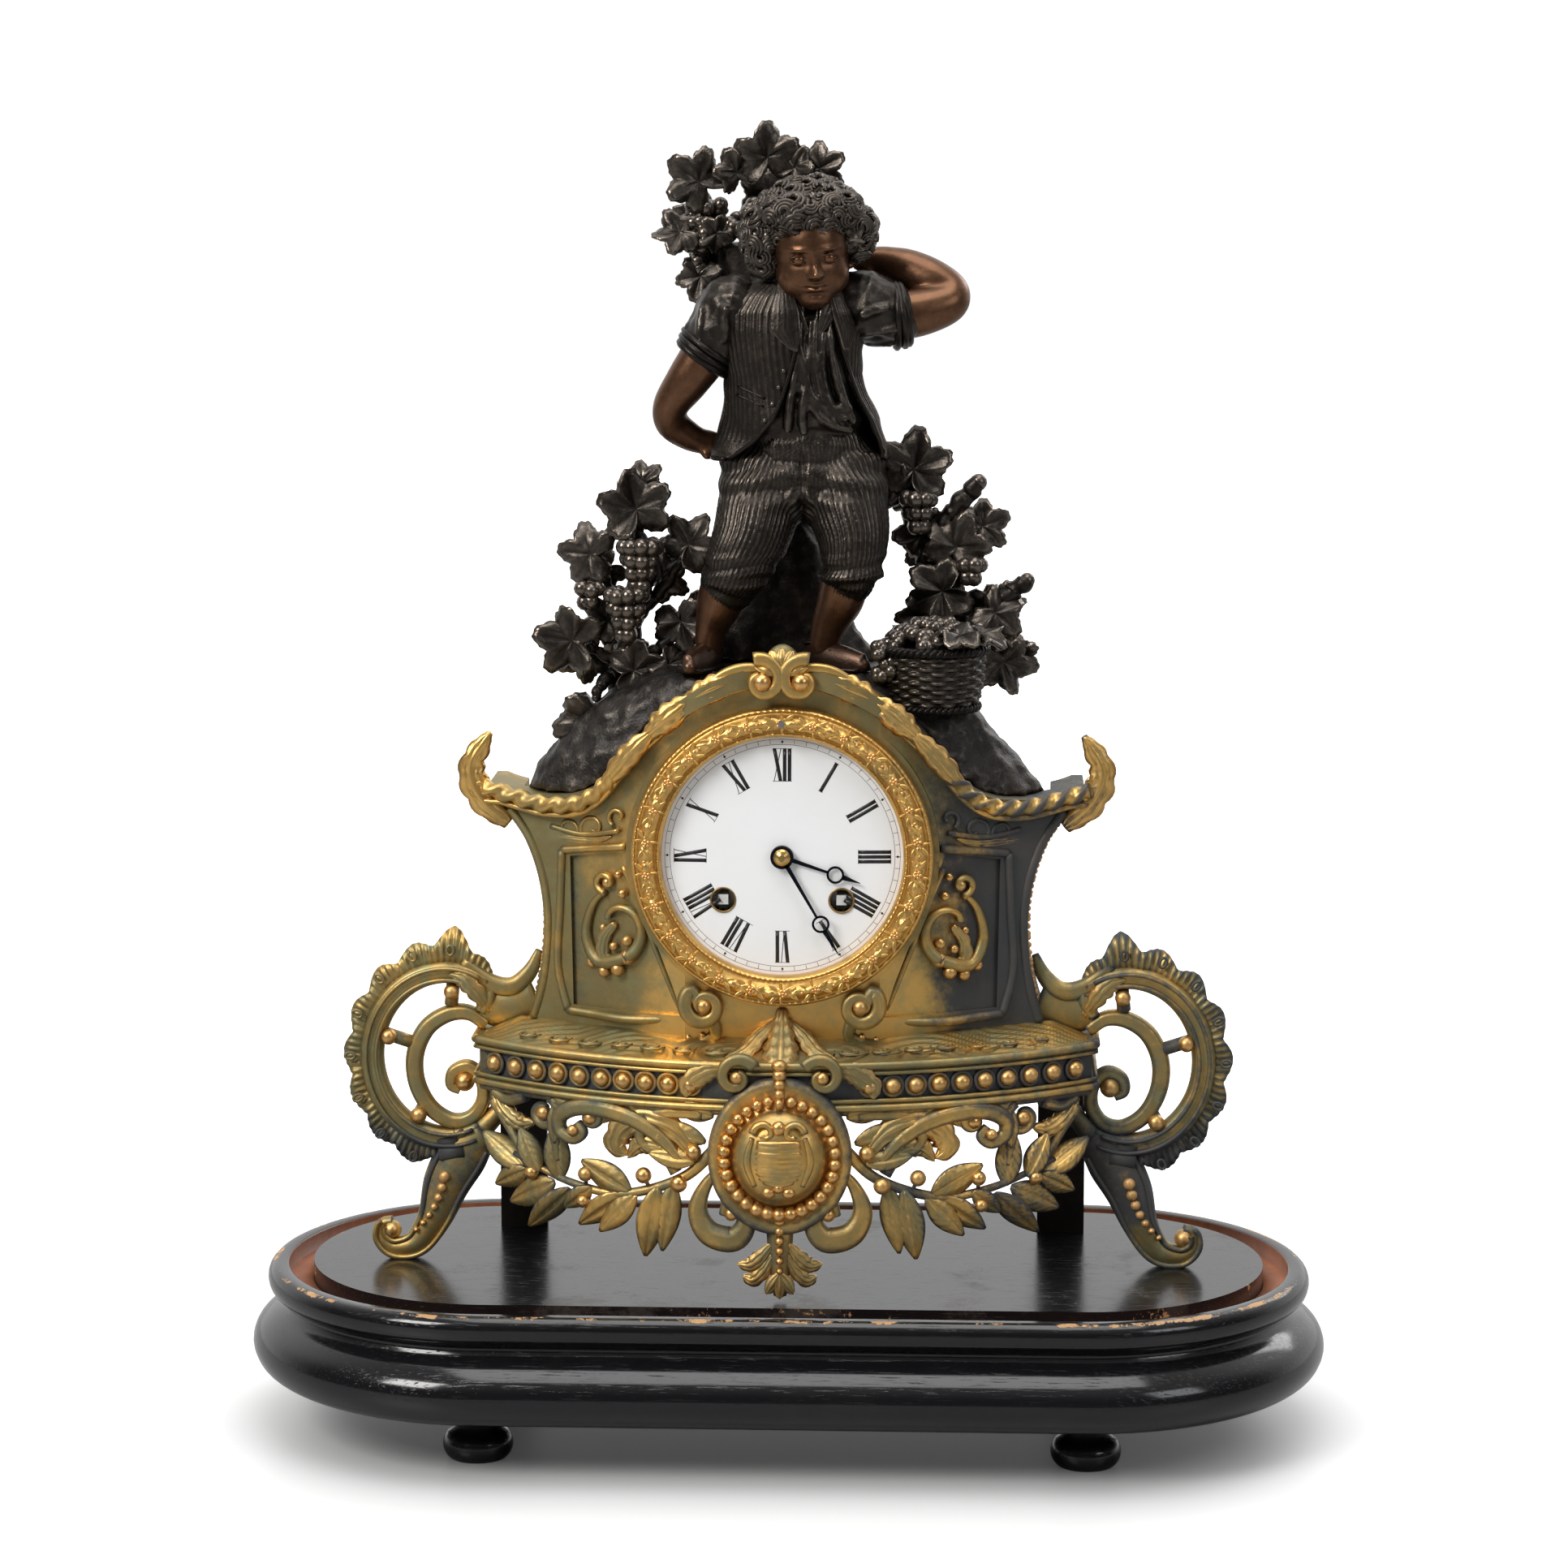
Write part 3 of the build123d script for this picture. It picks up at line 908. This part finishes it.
def motion_work():
    """Wheels under the dial that gear the hour hand to the minute hand."""
    gap = SEAT_GAP
    low = FRONT_PLATE_Y - gap - WHEEL_THICKNESS
    high = low - gap - WHEEL_THICKNESS
    cannon_module = 2 * MOTION_DISTANCE / (CANNON_LEAVES + MINUTE_TEETH)
    hour_module = 2 * MOTION_DISTANCE / (MINUTE_PINION_LEAVES + HOUR_TEETH)
    hole = ARBOR_RADIUS + RUNNING_GAP
    minute_front = hour_hand_y() - 2 * HAND_THICKNESS - SEAT_GAP - HAND_THICKNESS
    cannon = gear(0, 0, low, CANNON_LEAVES, cannon_module, hole)
    cannon += tube(0, DIAL_Z, minute_front, low + gap, cannon_radius(), hole)
    node("cannon_pinion", cannon)
    stud_z = MOTION_DISTANCE
    phase = mesh_phase(0, 0, CANNON_LEAVES, 0, 0, stud_z, MINUTE_TEETH)
    minute = gear(0, stud_z, low, MINUTE_TEETH, cannon_module, hole, phase)
    minute += gear(0, stud_z, high, MINUTE_PINION_LEAVES, hour_module, hole, 0, WHEEL_THICKNESS + gap)
    node("minute_wheel", minute)
    stud = rod(0, DIAL_Z + stud_z, high - 2 * gap, FRONT_PLATE_Y, ARBOR_RADIUS)
    stud += rod(0, DIAL_Z + stud_z, high - 2 * gap - WHEEL_THICKNESS, high - 2 * gap, 2 * ARBOR_RADIUS)
    node("front_plate", NODES["front_plate"] + stud)
    hour_bore = cannon_radius() + RUNNING_GAP
    hour = gear(0, 0, high, HOUR_TEETH, hour_module, hour_bore,
                mesh_phase(0, stud_z, MINUTE_PINION_LEAVES, 0, 0, 0, HOUR_TEETH))
    hour += tube(0, DIAL_Z, hour_hand_y() - HAND_THICKNESS, high + gap, hour_pipe_radius(), hour_bore)
    node("hour_wheel", hour)
    clicks = []
    for side in (-1, 1):
        x, z = side * WINDING_X, DIAL_Z - WINDING_DROP
        click = blade(x - side * 1.5 * RATCHET_RADIUS, z + 0.9 * RATCHET_RADIUS, 1.3 * RATCHET_RADIUS,
                      0.4 * RATCHET_RADIUS, 90 - side * 75)
        click += disc(x - side * 1.5 * RATCHET_RADIUS, z + 0.9 * RATCHET_RADIUS, 0.35 * RATCHET_RADIUS)
        click -= disc(x, z, RATCHET_RADIUS + SEAT_GAP)
        clicks.append(slab(click, low, FRONT_PLATE_Y))
    node("clicks", Compound([part.solids().sort_by(SortBy.VOLUME)[-1] for part in clicks]))


def escapement():
    """Anchor with its crutch, the pendulum and the cock that carries them."""
    ex, ez = train_places()["escape"]
    front_back = FRONT_PLATE_Y + PLATE_THICKNESS
    back = back_plate_y()
    rear = back + PLATE_THICKNESS
    anchor_z = DIAL_Z + ANCHOR_RISE
    barrel_y = back - 3 * WHEEL_THICKNESS - SEAT_GAP
    level = barrel_y - (SEAT_GAP + BARREL_LENGTH) / 2 + 3 * WHEEL_THICKNESS
    reach = ANCHOR_RISE - ez
    arc = spiral_band(ex, DIAL_Z + ez, reach - 0.06 * reach, reach - 0.06 * reach, 38, 142, 0.16 * reach, 0.16 * reach)
    arc += disc(0, anchor_z, 2 * ARBOR_RADIUS)
    crutch_y = rear + 2 * ARBOR_RADIUS
    staff = rod(0, anchor_z, front_back + SEAT_GAP / 2, rear + 2 * SEAT_GAP, ARBOR_RADIUS)
    staff += rod(0, anchor_z, FRONT_PLATE_Y, front_back + SEAT_GAP, PIVOT_RADIUS)
    fork_z = anchor_z - CRUTCH_LENGTH
    prong = 0.7 * PENDULUM_ROD_RADIUS
    prong_x = PENDULUM_ROD_RADIUS + FORK_GAP + prong
    crutch = rod_up(0, crutch_y, fork_z, anchor_z, prong)
    crutch += rod(0, anchor_z, rear + SEAT_GAP, crutch_y + 1.5 * prong, 2 * ARBOR_RADIUS)
    crutch += Pos(0, crutch_y, fork_z) * Box(2.2 * (prong_x + prong), 2.4 * prong, 2.4 * prong)
    for side in (-1, 1):
        crutch += rod(side * prong_x, fork_z, crutch_y, PENDULUM_Y + 2 * PENDULUM_ROD_RADIUS, prong)
    node("anchor", slab(arc, level, level + WHEEL_THICKNESS) + staff + crutch)
    axis_z = DIAL_Z + SUSPENSION_RISE
    cock_half = 0.16 * SUSPENSION_RISE
    plate_top = DIAL_Z + REGULATOR_RISE + 2 * REGULATOR_RADIUS
    plate_low = anchor_z + 3 * ARBOR_RADIUS
    thick = 2 * REGULATOR_RADIUS
    arm_low, arm_high = axis_z - thick, axis_z + 1.6 * thick
    cock = slab(Pos(0, (plate_low + plate_top) / 2) * Rectangle(2 * cock_half, plate_top - plate_low),
                rear, rear + thick)
    arm_back = PENDULUM_Y + 3 * PENDULUM_ROD_RADIUS
    cock += slab(Pos(0, (arm_low + arm_high) / 2) * Rectangle(2 * cock_half, arm_high - arm_low), rear, arm_back)
    slot = HAND_THICKNESS
    spring_half = 2 * PENDULUM_ROD_RADIUS
    cock -= Pos(0, PENDULUM_Y, axis_z) * Box(2 * slot, 2 * (spring_half + slot), 2 * SUSPENSION_RISE)
    cock -= rod(0, DIAL_Z + REGULATOR_RISE, rear - OVERRUN, arm_back + OVERRUN, REGULATOR_RADIUS + RUNNING_GAP)
    node("suspension_cock", cock)
    chop_low = arm_high + SEAT_GAP / 2
    chop_half = 2 * PENDULUM_ROD_RADIUS
    bob_z = axis_z - PENDULUM_LENGTH
    hook_z = axis_z - 3 * thick
    spring = Pos(0, PENDULUM_Y, (hook_z + chop_low) / 2) * Box(SEAT_GAP, 2 * spring_half, chop_low - hook_z)
    chop = Pos(0, PENDULUM_Y, chop_low + slot) * Box(2 * chop_half, 1.7 * spring_half, 2 * slot)
    node("suspension_spring", spring + chop)
    block = Pos(0, PENDULUM_Y, hook_z - thick / 2) * Box(2 * chop_half, 2 * spring_half, thick)
    staff_low = bob_z - 1.4 * BOB_RADIUS
    pendulum = block + rod_up(0, PENDULUM_Y, staff_low, hook_z - thick / 2, PENDULUM_ROD_RADIUS)
    node("pendulum_rod", pendulum)
    half = BOB_THICKNESS / 2
    lens = turned([(0, PENDULUM_Y - half), (0.5 * BOB_RADIUS, PENDULUM_Y - 0.85 * half),
                   (BOB_RADIUS, PENDULUM_Y - 0.2 * half), (BOB_RADIUS, PENDULUM_Y + 0.2 * half),
                   (0.5 * BOB_RADIUS, PENDULUM_Y + 0.85 * half), (0, PENDULUM_Y + half)], 0, bob_z)
    node("pendulum_bob", lens - rod_up(0, PENDULUM_Y, staff_low - OVERRUN, axis_z, PENDULUM_ROD_RADIUS))
    nut_top = bob_z - BOB_RADIUS
    nut = rod_up(0, PENDULUM_Y, nut_top - 3 * PENDULUM_ROD_RADIUS, nut_top, 3.2 * PENDULUM_ROD_RADIUS)
    node("rating_nut", nut - rod_up(0, PENDULUM_Y, staff_low - OVERRUN, axis_z, PENDULUM_ROD_RADIUS))
    front_end = DIAL_FRONT_Y - BEZEL_HEIGHT - 2 * REGULATOR_RADIUS
    regulator = rod(0, DIAL_Z + REGULATOR_RISE, DIAL_FRONT_Y - BEZEL_HEIGHT, rear + thick + SEAT_GAP, REGULATOR_RADIUS)
    regulator += slab(Pos(0, DIAL_Z + REGULATOR_RISE) * Rectangle(1.3 * REGULATOR_RADIUS, 1.3 * REGULATOR_RADIUS),
                      front_end, DIAL_FRONT_Y - BEZEL_HEIGHT + SEAT_GAP)
    node("regulator_arbor", regulator)


def striking():
    """Count wheel, bell and hammer on the back plate."""
    rear = back_plate_y() + PLATE_THICKNESS
    sx, sz = train_places()["strike"]
    rim = disc(sx, DIAL_Z + sz, COUNT_WHEEL_RADIUS) - disc(sx, DIAL_Z + sz, 0.72 * COUNT_WHEEL_RADIUS)
    rim += disc(sx, DIAL_Z + sz, 1.9 * WINDING_ARBOR_RADIUS)
    for angle in (0, 60, 120):
        rim += Pos(sx, DIAL_Z + sz) * Rot(0, 0, angle) * Rectangle(1.8 * COUNT_WHEEL_RADIUS, WHEEL_THICKNESS)
    for i in range(COUNT_WHEEL_NOTCHES):
        angle = radians(360 * sum(range(1, i + 2)) / sum(range(1, COUNT_WHEEL_NOTCHES + 1)))
        rim -= disc(sx + COUNT_WHEEL_RADIUS * cos(angle), DIAL_Z + sz + COUNT_WHEEL_RADIUS * sin(angle), WHEEL_THICKNESS)
    rim -= disc(sx, DIAL_Z + sz, 1.2 * WINDING_ARBOR_RADIUS)
    wheel = slab(rim, rear + SEAT_GAP, rear + SEAT_GAP + WHEEL_THICKNESS)
    wheel += tube(sx, DIAL_Z + sz, rear, rear + 2 * WHEEL_THICKNESS, 1.9 * WINDING_ARBOR_RADIUS,
                  1.2 * WINDING_ARBOR_RADIUS)
    node("count_wheel", wheel)
    crown = BELL_Y + BELL_DEPTH
    post = 0.065 * BELL_RADIUS
    inner = BELL_RADIUS - BELL_WALL
    outline = make_face([
        ThreePointArc((BELL_RADIUS, BELL_Y), (0.76 * BELL_RADIUS, BELL_Y + 0.77 * BELL_DEPTH), (post, crown)),
        Line((post, crown), (post, crown - BELL_WALL)),
        ThreePointArc((post, crown - BELL_WALL), (0.76 * inner, BELL_Y + 0.77 * (BELL_DEPTH - BELL_WALL)),
                      (inner, BELL_Y)),
        Line((inner, BELL_Y), (BELL_RADIUS, BELL_Y))])
    bell_z = DIAL_Z - BELL_DROP
    node("bell", Pos(BELL_X, 0, bell_z) * revolve(outline, Axis.Y))
    stand = rod(BELL_X, bell_z, rear, crown + 2 * BELL_WALL, post)
    stand += rod(BELL_X, bell_z, rear, rear + BELL_WALL, 3 * post)
    stand += rod(BELL_X, bell_z, crown - 2 * BELL_WALL, crown - BELL_WALL, 2 * post)
    stand += rod(BELL_X, bell_z, crown, crown + BELL_WALL, 2 * post)
    node("bell_stand", stand - NODES["bell"])
    head_x = BELL_X - BELL_RADIUS - SEAT_GAP - HAMMER_HEAD_RADIUS
    arm_y = rear + 2 * ARBOR_RADIUS
    head_y = BELL_Y + HAMMER_HEAD_RADIUS / 2
    hammer_z = DIAL_Z + HAMMER_RISE
    hammer = arbor(HAMMER_X, HAMMER_RISE, FRONT_PLATE_Y, arm_y)
    hammer += rod(HAMMER_X, hammer_z, rear + SEAT_GAP, arm_y + ARBOR_RADIUS, 2 * ARBOR_RADIUS)
    hammer += limb([(HAMMER_X, arm_y, hammer_z, PIVOT_RADIUS), (HAMMER_X, head_y, hammer_z - HAMMER_RISE / 3, PIVOT_RADIUS),
                    (head_x, head_y, bell_z, PIVOT_RADIUS)])
    hammer += Pos(head_x, head_y, bell_z) * Sphere(HAMMER_HEAD_RADIUS)
    node("hammer", hammer)


def back_fittings():
    """Straps that pull the movement ring to the back ring, and the hinged back cover."""
    ring_back = BODY_BACK_Y + REAR_RING_DEPTH
    strap_x = DIAL_RADIUS + DIAL_SEAT_GAP - RING_LIP
    straps = []
    for side in (-1, 1):
        straps.append(Pos(side * strap_x, (FRONT_PLATE_Y + BODY_BACK_Y) / 2, DIAL_Z) * Box(
            STRAP_THICKNESS, BODY_BACK_Y - FRONT_PLATE_Y, STRAP_WIDTH))
    node("movement_straps", Compound(straps))
    ring = tube(0, DIAL_Z, BODY_BACK_Y, ring_back, REAR_RING_OUTER, REAR_RING_INNER)
    hinge_x = -COVER_RADIUS - HINGE_OFFSET
    hinge_y = ring_back + HINGE_KNUCKLE_RADIUS
    middle = 0.4 * HINGE_LENGTH
    knuckle = rod_up(hinge_x, hinge_y, DIAL_Z - HINGE_LENGTH / 2, DIAL_Z + HINGE_LENGTH / 2, HINGE_KNUCKLE_RADIUS)
    leaf_end = -REAR_RING_INNER - HINGE_OFFSET
    leaf_start = hinge_x - HINGE_KNUCKLE_RADIUS
    knuckle += Pos((leaf_start + leaf_end) / 2, ring_back - REAR_RING_DEPTH / 2, DIAL_Z) * Box(
        leaf_end - leaf_start, REAR_RING_DEPTH, HINGE_LENGTH)
    knuckle += Pos(hinge_x, ring_back + HINGE_KNUCKLE_RADIUS / 2, DIAL_Z) * Box(
        2 * HINGE_KNUCKLE_RADIUS, HINGE_KNUCKLE_RADIUS, HINGE_LENGTH)
    knuckle -= Pos(hinge_x, hinge_y, DIAL_Z) * Box(
        4 * HINGE_KNUCKLE_RADIUS + SEAT_GAP, 2 * HINGE_KNUCKLE_RADIUS + 2 * SEAT_GAP, middle + SEAT_GAP)
    pin_low, pin_high = DIAL_Z - HINGE_LENGTH / 2, DIAL_Z + HINGE_LENGTH / 2
    ring += knuckle
    ring += rod_up(hinge_x, hinge_y, pin_low - SEAT_GAP, pin_high + SEAT_GAP, HINGE_PIN_RADIUS)
    node("rear_ring", ring)
    front = ring_back + SEAT_GAP
    deep = front + COVER_DEPTH
    cover = turned([(COVER_RADIUS, front), (COVER_RADIUS, front + COVER_DEPTH / 2), (COVER_RADIUS - COVER_DEPTH, deep),
                    (0, deep), (0, deep - COVER_WALL), (COVER_RADIUS - COVER_DEPTH, deep - COVER_WALL),
                    (COVER_RADIUS - COVER_WALL, front + COVER_DEPTH / 2 - COVER_WALL / 2),
                    (COVER_RADIUS - COVER_WALL, front)], 0, DIAL_Z)
    cover += rod_up(hinge_x, hinge_y, DIAL_Z - middle / 2, DIAL_Z + middle / 2, HINGE_KNUCKLE_RADIUS)
    cover += Pos(hinge_x + HINGE_OFFSET / 2 + COVER_WALL / 2, hinge_y, DIAL_Z) * Box(
        HINGE_OFFSET + COVER_WALL, HINGE_KNUCKLE_RADIUS, middle)
    cover -= rod_up(hinge_x, hinge_y, pin_low, pin_high, HINGE_PIN_RADIUS + RUNNING_GAP)
    cover += turned([(0, deep), (2 * COVER_WALL, deep), (1.2 * COVER_WALL, deep + COVER_WALL),
                     (2 * COVER_WALL, deep + 2 * COVER_WALL), (0, deep + 3 * COVER_WALL)],
                    COVER_RADIUS - 2 * COVER_DEPTH, DIAL_Z)
    node("rear_cover", cover)


# Figure group

def ground_z():
    """Height of the mound's flat cap."""
    return MOUND_TOP_Z + FOOT_SHARE * MOUND_SPAN


def figure_stations(shares):
    """Stations in millimetres: the first three of each row are a place, the rest are sizes."""
    height = FIGURE_HEIGHT
    return [(row[0] * height, row[1] * height, ground_z() + (row[2] - FOOT_SHARE) * height,
             *[size * height for size in row[3:]]) for row in shares]


def mound_stations(shares):
    """Stations of the mound and what grows on it, in millimetres."""
    return [(row[0] * MOUND_SPAN, row[1] * MOUND_SPAN, MOUND_TOP_Z + row[2] * MOUND_SPAN,
             *[size * MOUND_SPAN for size in row[3:]]) for row in shares]


def tapered(stations):
    """Smooth solid through level ellipses."""
    return loft([Pos(x, y, z) * Ellipse(rx, ry) for x, y, z, rx, ry in stations])


def bunch(x, y, z, rows):
    """Hanging bunch of grapes: rings of balls that narrow downwards, a hair apart."""
    apart = 2 * GRAPE_RADIUS + 2 * SEAT_GAP
    drop = 0.9 * apart
    balls = []
    for row in range(rows):
        count = rows - row
        ring = apart / (2 * sin(pi / count)) if count > 1 else 0
        for i in range(count):
            angle = 2 * pi * (i + 0.5 * row) / count + 0.3
            balls.append(Pos(x + ring * cos(angle), y + ring * sin(angle), z - row * drop) * Sphere(GRAPE_RADIUS))
    return balls


def vine_leaf(x, y, z, length, angle):
    """Three-lobed leaf in front elevation."""
    face = blade(x, z, length, 0.6 * length, angle)
    for turn in (-48, 48):
        face += blade(x, z, 0.72 * length, 0.42 * length, angle + turn)
    return slab(face, y - LEAF_THICKNESS / 2, y + LEAF_THICKNESS / 2)


def largest(shape):
    """The main solid of a cut shape."""
    return shape.solids().sort_by(SortBy.VOLUME)[-1]


def half_space(axis, place):
    """Large block that lies beyond a place along an axis: +X, -X, -Y or -Z of it."""
    size = 4 * FIGURE_HEIGHT
    middle = size / 2
    shift = {"+x": (place + middle, 0, MOUND_TOP_Z), "-x": (place - middle, 0, MOUND_TOP_Z),
             "-y": (0, place - middle, MOUND_TOP_Z), "-z": (0, 0, place - middle)}[axis]
    return Pos(*shift) * Box(size, size, size)


def figure():
    case = body_solid(0) + rod(0, DIAL_Z, DIAL_FRONT_Y, DIAL_FRONT_Y + 3 * CASE_WALL, BOSS_RADIUS)
    mound = tapered(mound_stations(MOUND_SHARES)) - case - NODES["cornice"] - NODES["corner_finials"]
    mound = node("rocky_mound", largest(mound))
    ground = ground_z()
    node("tree_stump", tapered(figure_stations(STUMP_SHARES)))
    legs = []
    for leg_shares, shoe_shares in ((LEFT_LEG_SHARES, LEFT_SHOE_SHARES), (RIGHT_LEG_SHARES, RIGHT_SHOE_SHARES)):
        shoe = limb(figure_stations(shoe_shares)) - half_space("-z", ground)
        legs.append(largest(tapered(figure_stations(leg_shares)) + shoe))
    node("boy_legs", Compound(legs))
    low_x, high_x = [share * FIGURE_HEIGHT for share in SHOULDER_SHARES]
    torso = tapered(figure_stations(TORSO_SHARES))
    node("boy_torso", torso - shoulder_cut("+x", high_x) - shoulder_cut("-x", low_x))
    node("boy_head", tapered(figure_stations(HEAD_SHARES)))
    raised = limb(figure_stations(RAISED_ARM_SHARES)) - half_space("-x", high_x)
    lowered = limb(figure_stations(LOWERED_ARM_SHARES)) - half_space("+x", low_x)
    node("boy_arms", Compound([largest(raised), largest(lowered)]))
    hod_load()
    vines()
    low = MOUND_TOP_Z - 0.55 * BASKET_HEIGHT
    outline = make_face(Polyline((0, 0), (0.8 * BASKET_RADIUS, 0), (0.95 * BASKET_RADIUS, 0.4 * BASKET_HEIGHT),
                                 (BASKET_RADIUS, 0.8 * BASKET_HEIGHT), (0.86 * BASKET_RADIUS, 0.82 * BASKET_HEIGHT),
                                 (0.6 * BASKET_RADIUS, BASKET_HEIGHT), (0, 1.1 * BASKET_HEIGHT), close=True))
    basket = Pos(BASKET_X, BASKET_Y, low) * revolve(Plane.XZ * outline, Axis.Z)
    node("fruit_basket", largest(basket - mound - case - NODES["cornice"]))


def shoulder_cut(axis, place):
    """Block that trims the torso flat where an arm joins it."""
    top = figure_stations(TORSO_SHARES)[-1][2]
    low = figure_stations(TORSO_SHARES)[-4][2]
    return half_space(axis, place) - half_space("-z", low) & half_space("-z", top + OVERRUN)


def hod_load():
    """Flat-backed hod on the boy's back, heaped with fruit and leaves."""
    flat = HOD_BACK_SHARE * FIGURE_HEIGHT
    node("hod", tapered(figure_stations(HOD_SHARES)) - half_space("-y", flat))
    rim_x, rim_y, rim_z, rim_rx, rim_ry = figure_stations(HOD_SHARES)[-1]
    fruit = []
    for i in range(HOD_FRUIT):
        angle = 2 * pi * i / HOD_FRUIT
        fruit.append(Pos(rim_x + 0.7 * rim_rx * cos(angle), rim_y + 0.5 * rim_ry * sin(angle),
                         rim_z + 0.6 * GRAPE_RADIUS) * Sphere(1.9 * GRAPE_RADIUS))
    heap = Pos(rim_x, rim_y, rim_z) * Cone(0.8 * rim_ry, 0.4 * rim_ry, 2.2 * GRAPE_RADIUS,
                                           align=(Align.CENTER, Align.CENTER, Align.MIN))
    load = Part() + ([heap] + fruit)
    load += vine_leaf(rim_x - 0.7 * rim_rx, rim_y - 0.3 * rim_ry, rim_z, 0.9 * rim_rx, 125)
    load += vine_leaf(rim_x, rim_y - 0.2 * rim_ry, rim_z + GRAPE_RADIUS, 1.55 * rim_rx, 90)
    node("hod_fruit", largest(load - half_space("-z", rim_z) - half_space("-y", flat)))


def vines():
    """Vine stems with leaves and hanging bunches at each end of the mound."""
    grown = []
    for shares, sign in ((LEFT_VINE_SHARES, -1), (RIGHT_VINE_SHARES, 1)):
        stem = largest(limb(mound_stations(shares)) - NODES["rocky_mound"])
        leaves = [vine_leaf(x, y, z, length, angle) for (x, y, z, length), angle in
                  zip(mound_stations([row[:4] for row in LEAF_SHARES]), [row[4] for row in LEAF_SHARES])
                  if x * sign > 0]
        vine = largest(stem + leaves)
        grown.append(vine)
        for (x, y, z), rows in zip(mound_stations([row[:3] for row in BUNCH_SHARES]),
                                   [row[3] for row in BUNCH_SHARES]):
            if x * sign > 0:
                grown += [largest(ball - vine) for ball in bunch(x, y, z, rows)]
    node("vines", Compound(grown))


def build():
    plinth()
    case_body()
    cornice()
    platform()
    side_scrolls()
    apron()
    case_ornaments()
    rear_legs()
    bezel_and_dial()
    hands()
    plates()
    trains()
    motion_work()
    escapement()
    striking()
    back_fittings()
    figure()


build()
os.makedirs("parts", exist_ok=True)
for name, shape in NODES.items():
    export_step(shape if len(shape.solids()) > 1 else shape.solid(), "parts/" + name + ".step")
print(len(NODES), "sub-parts written")
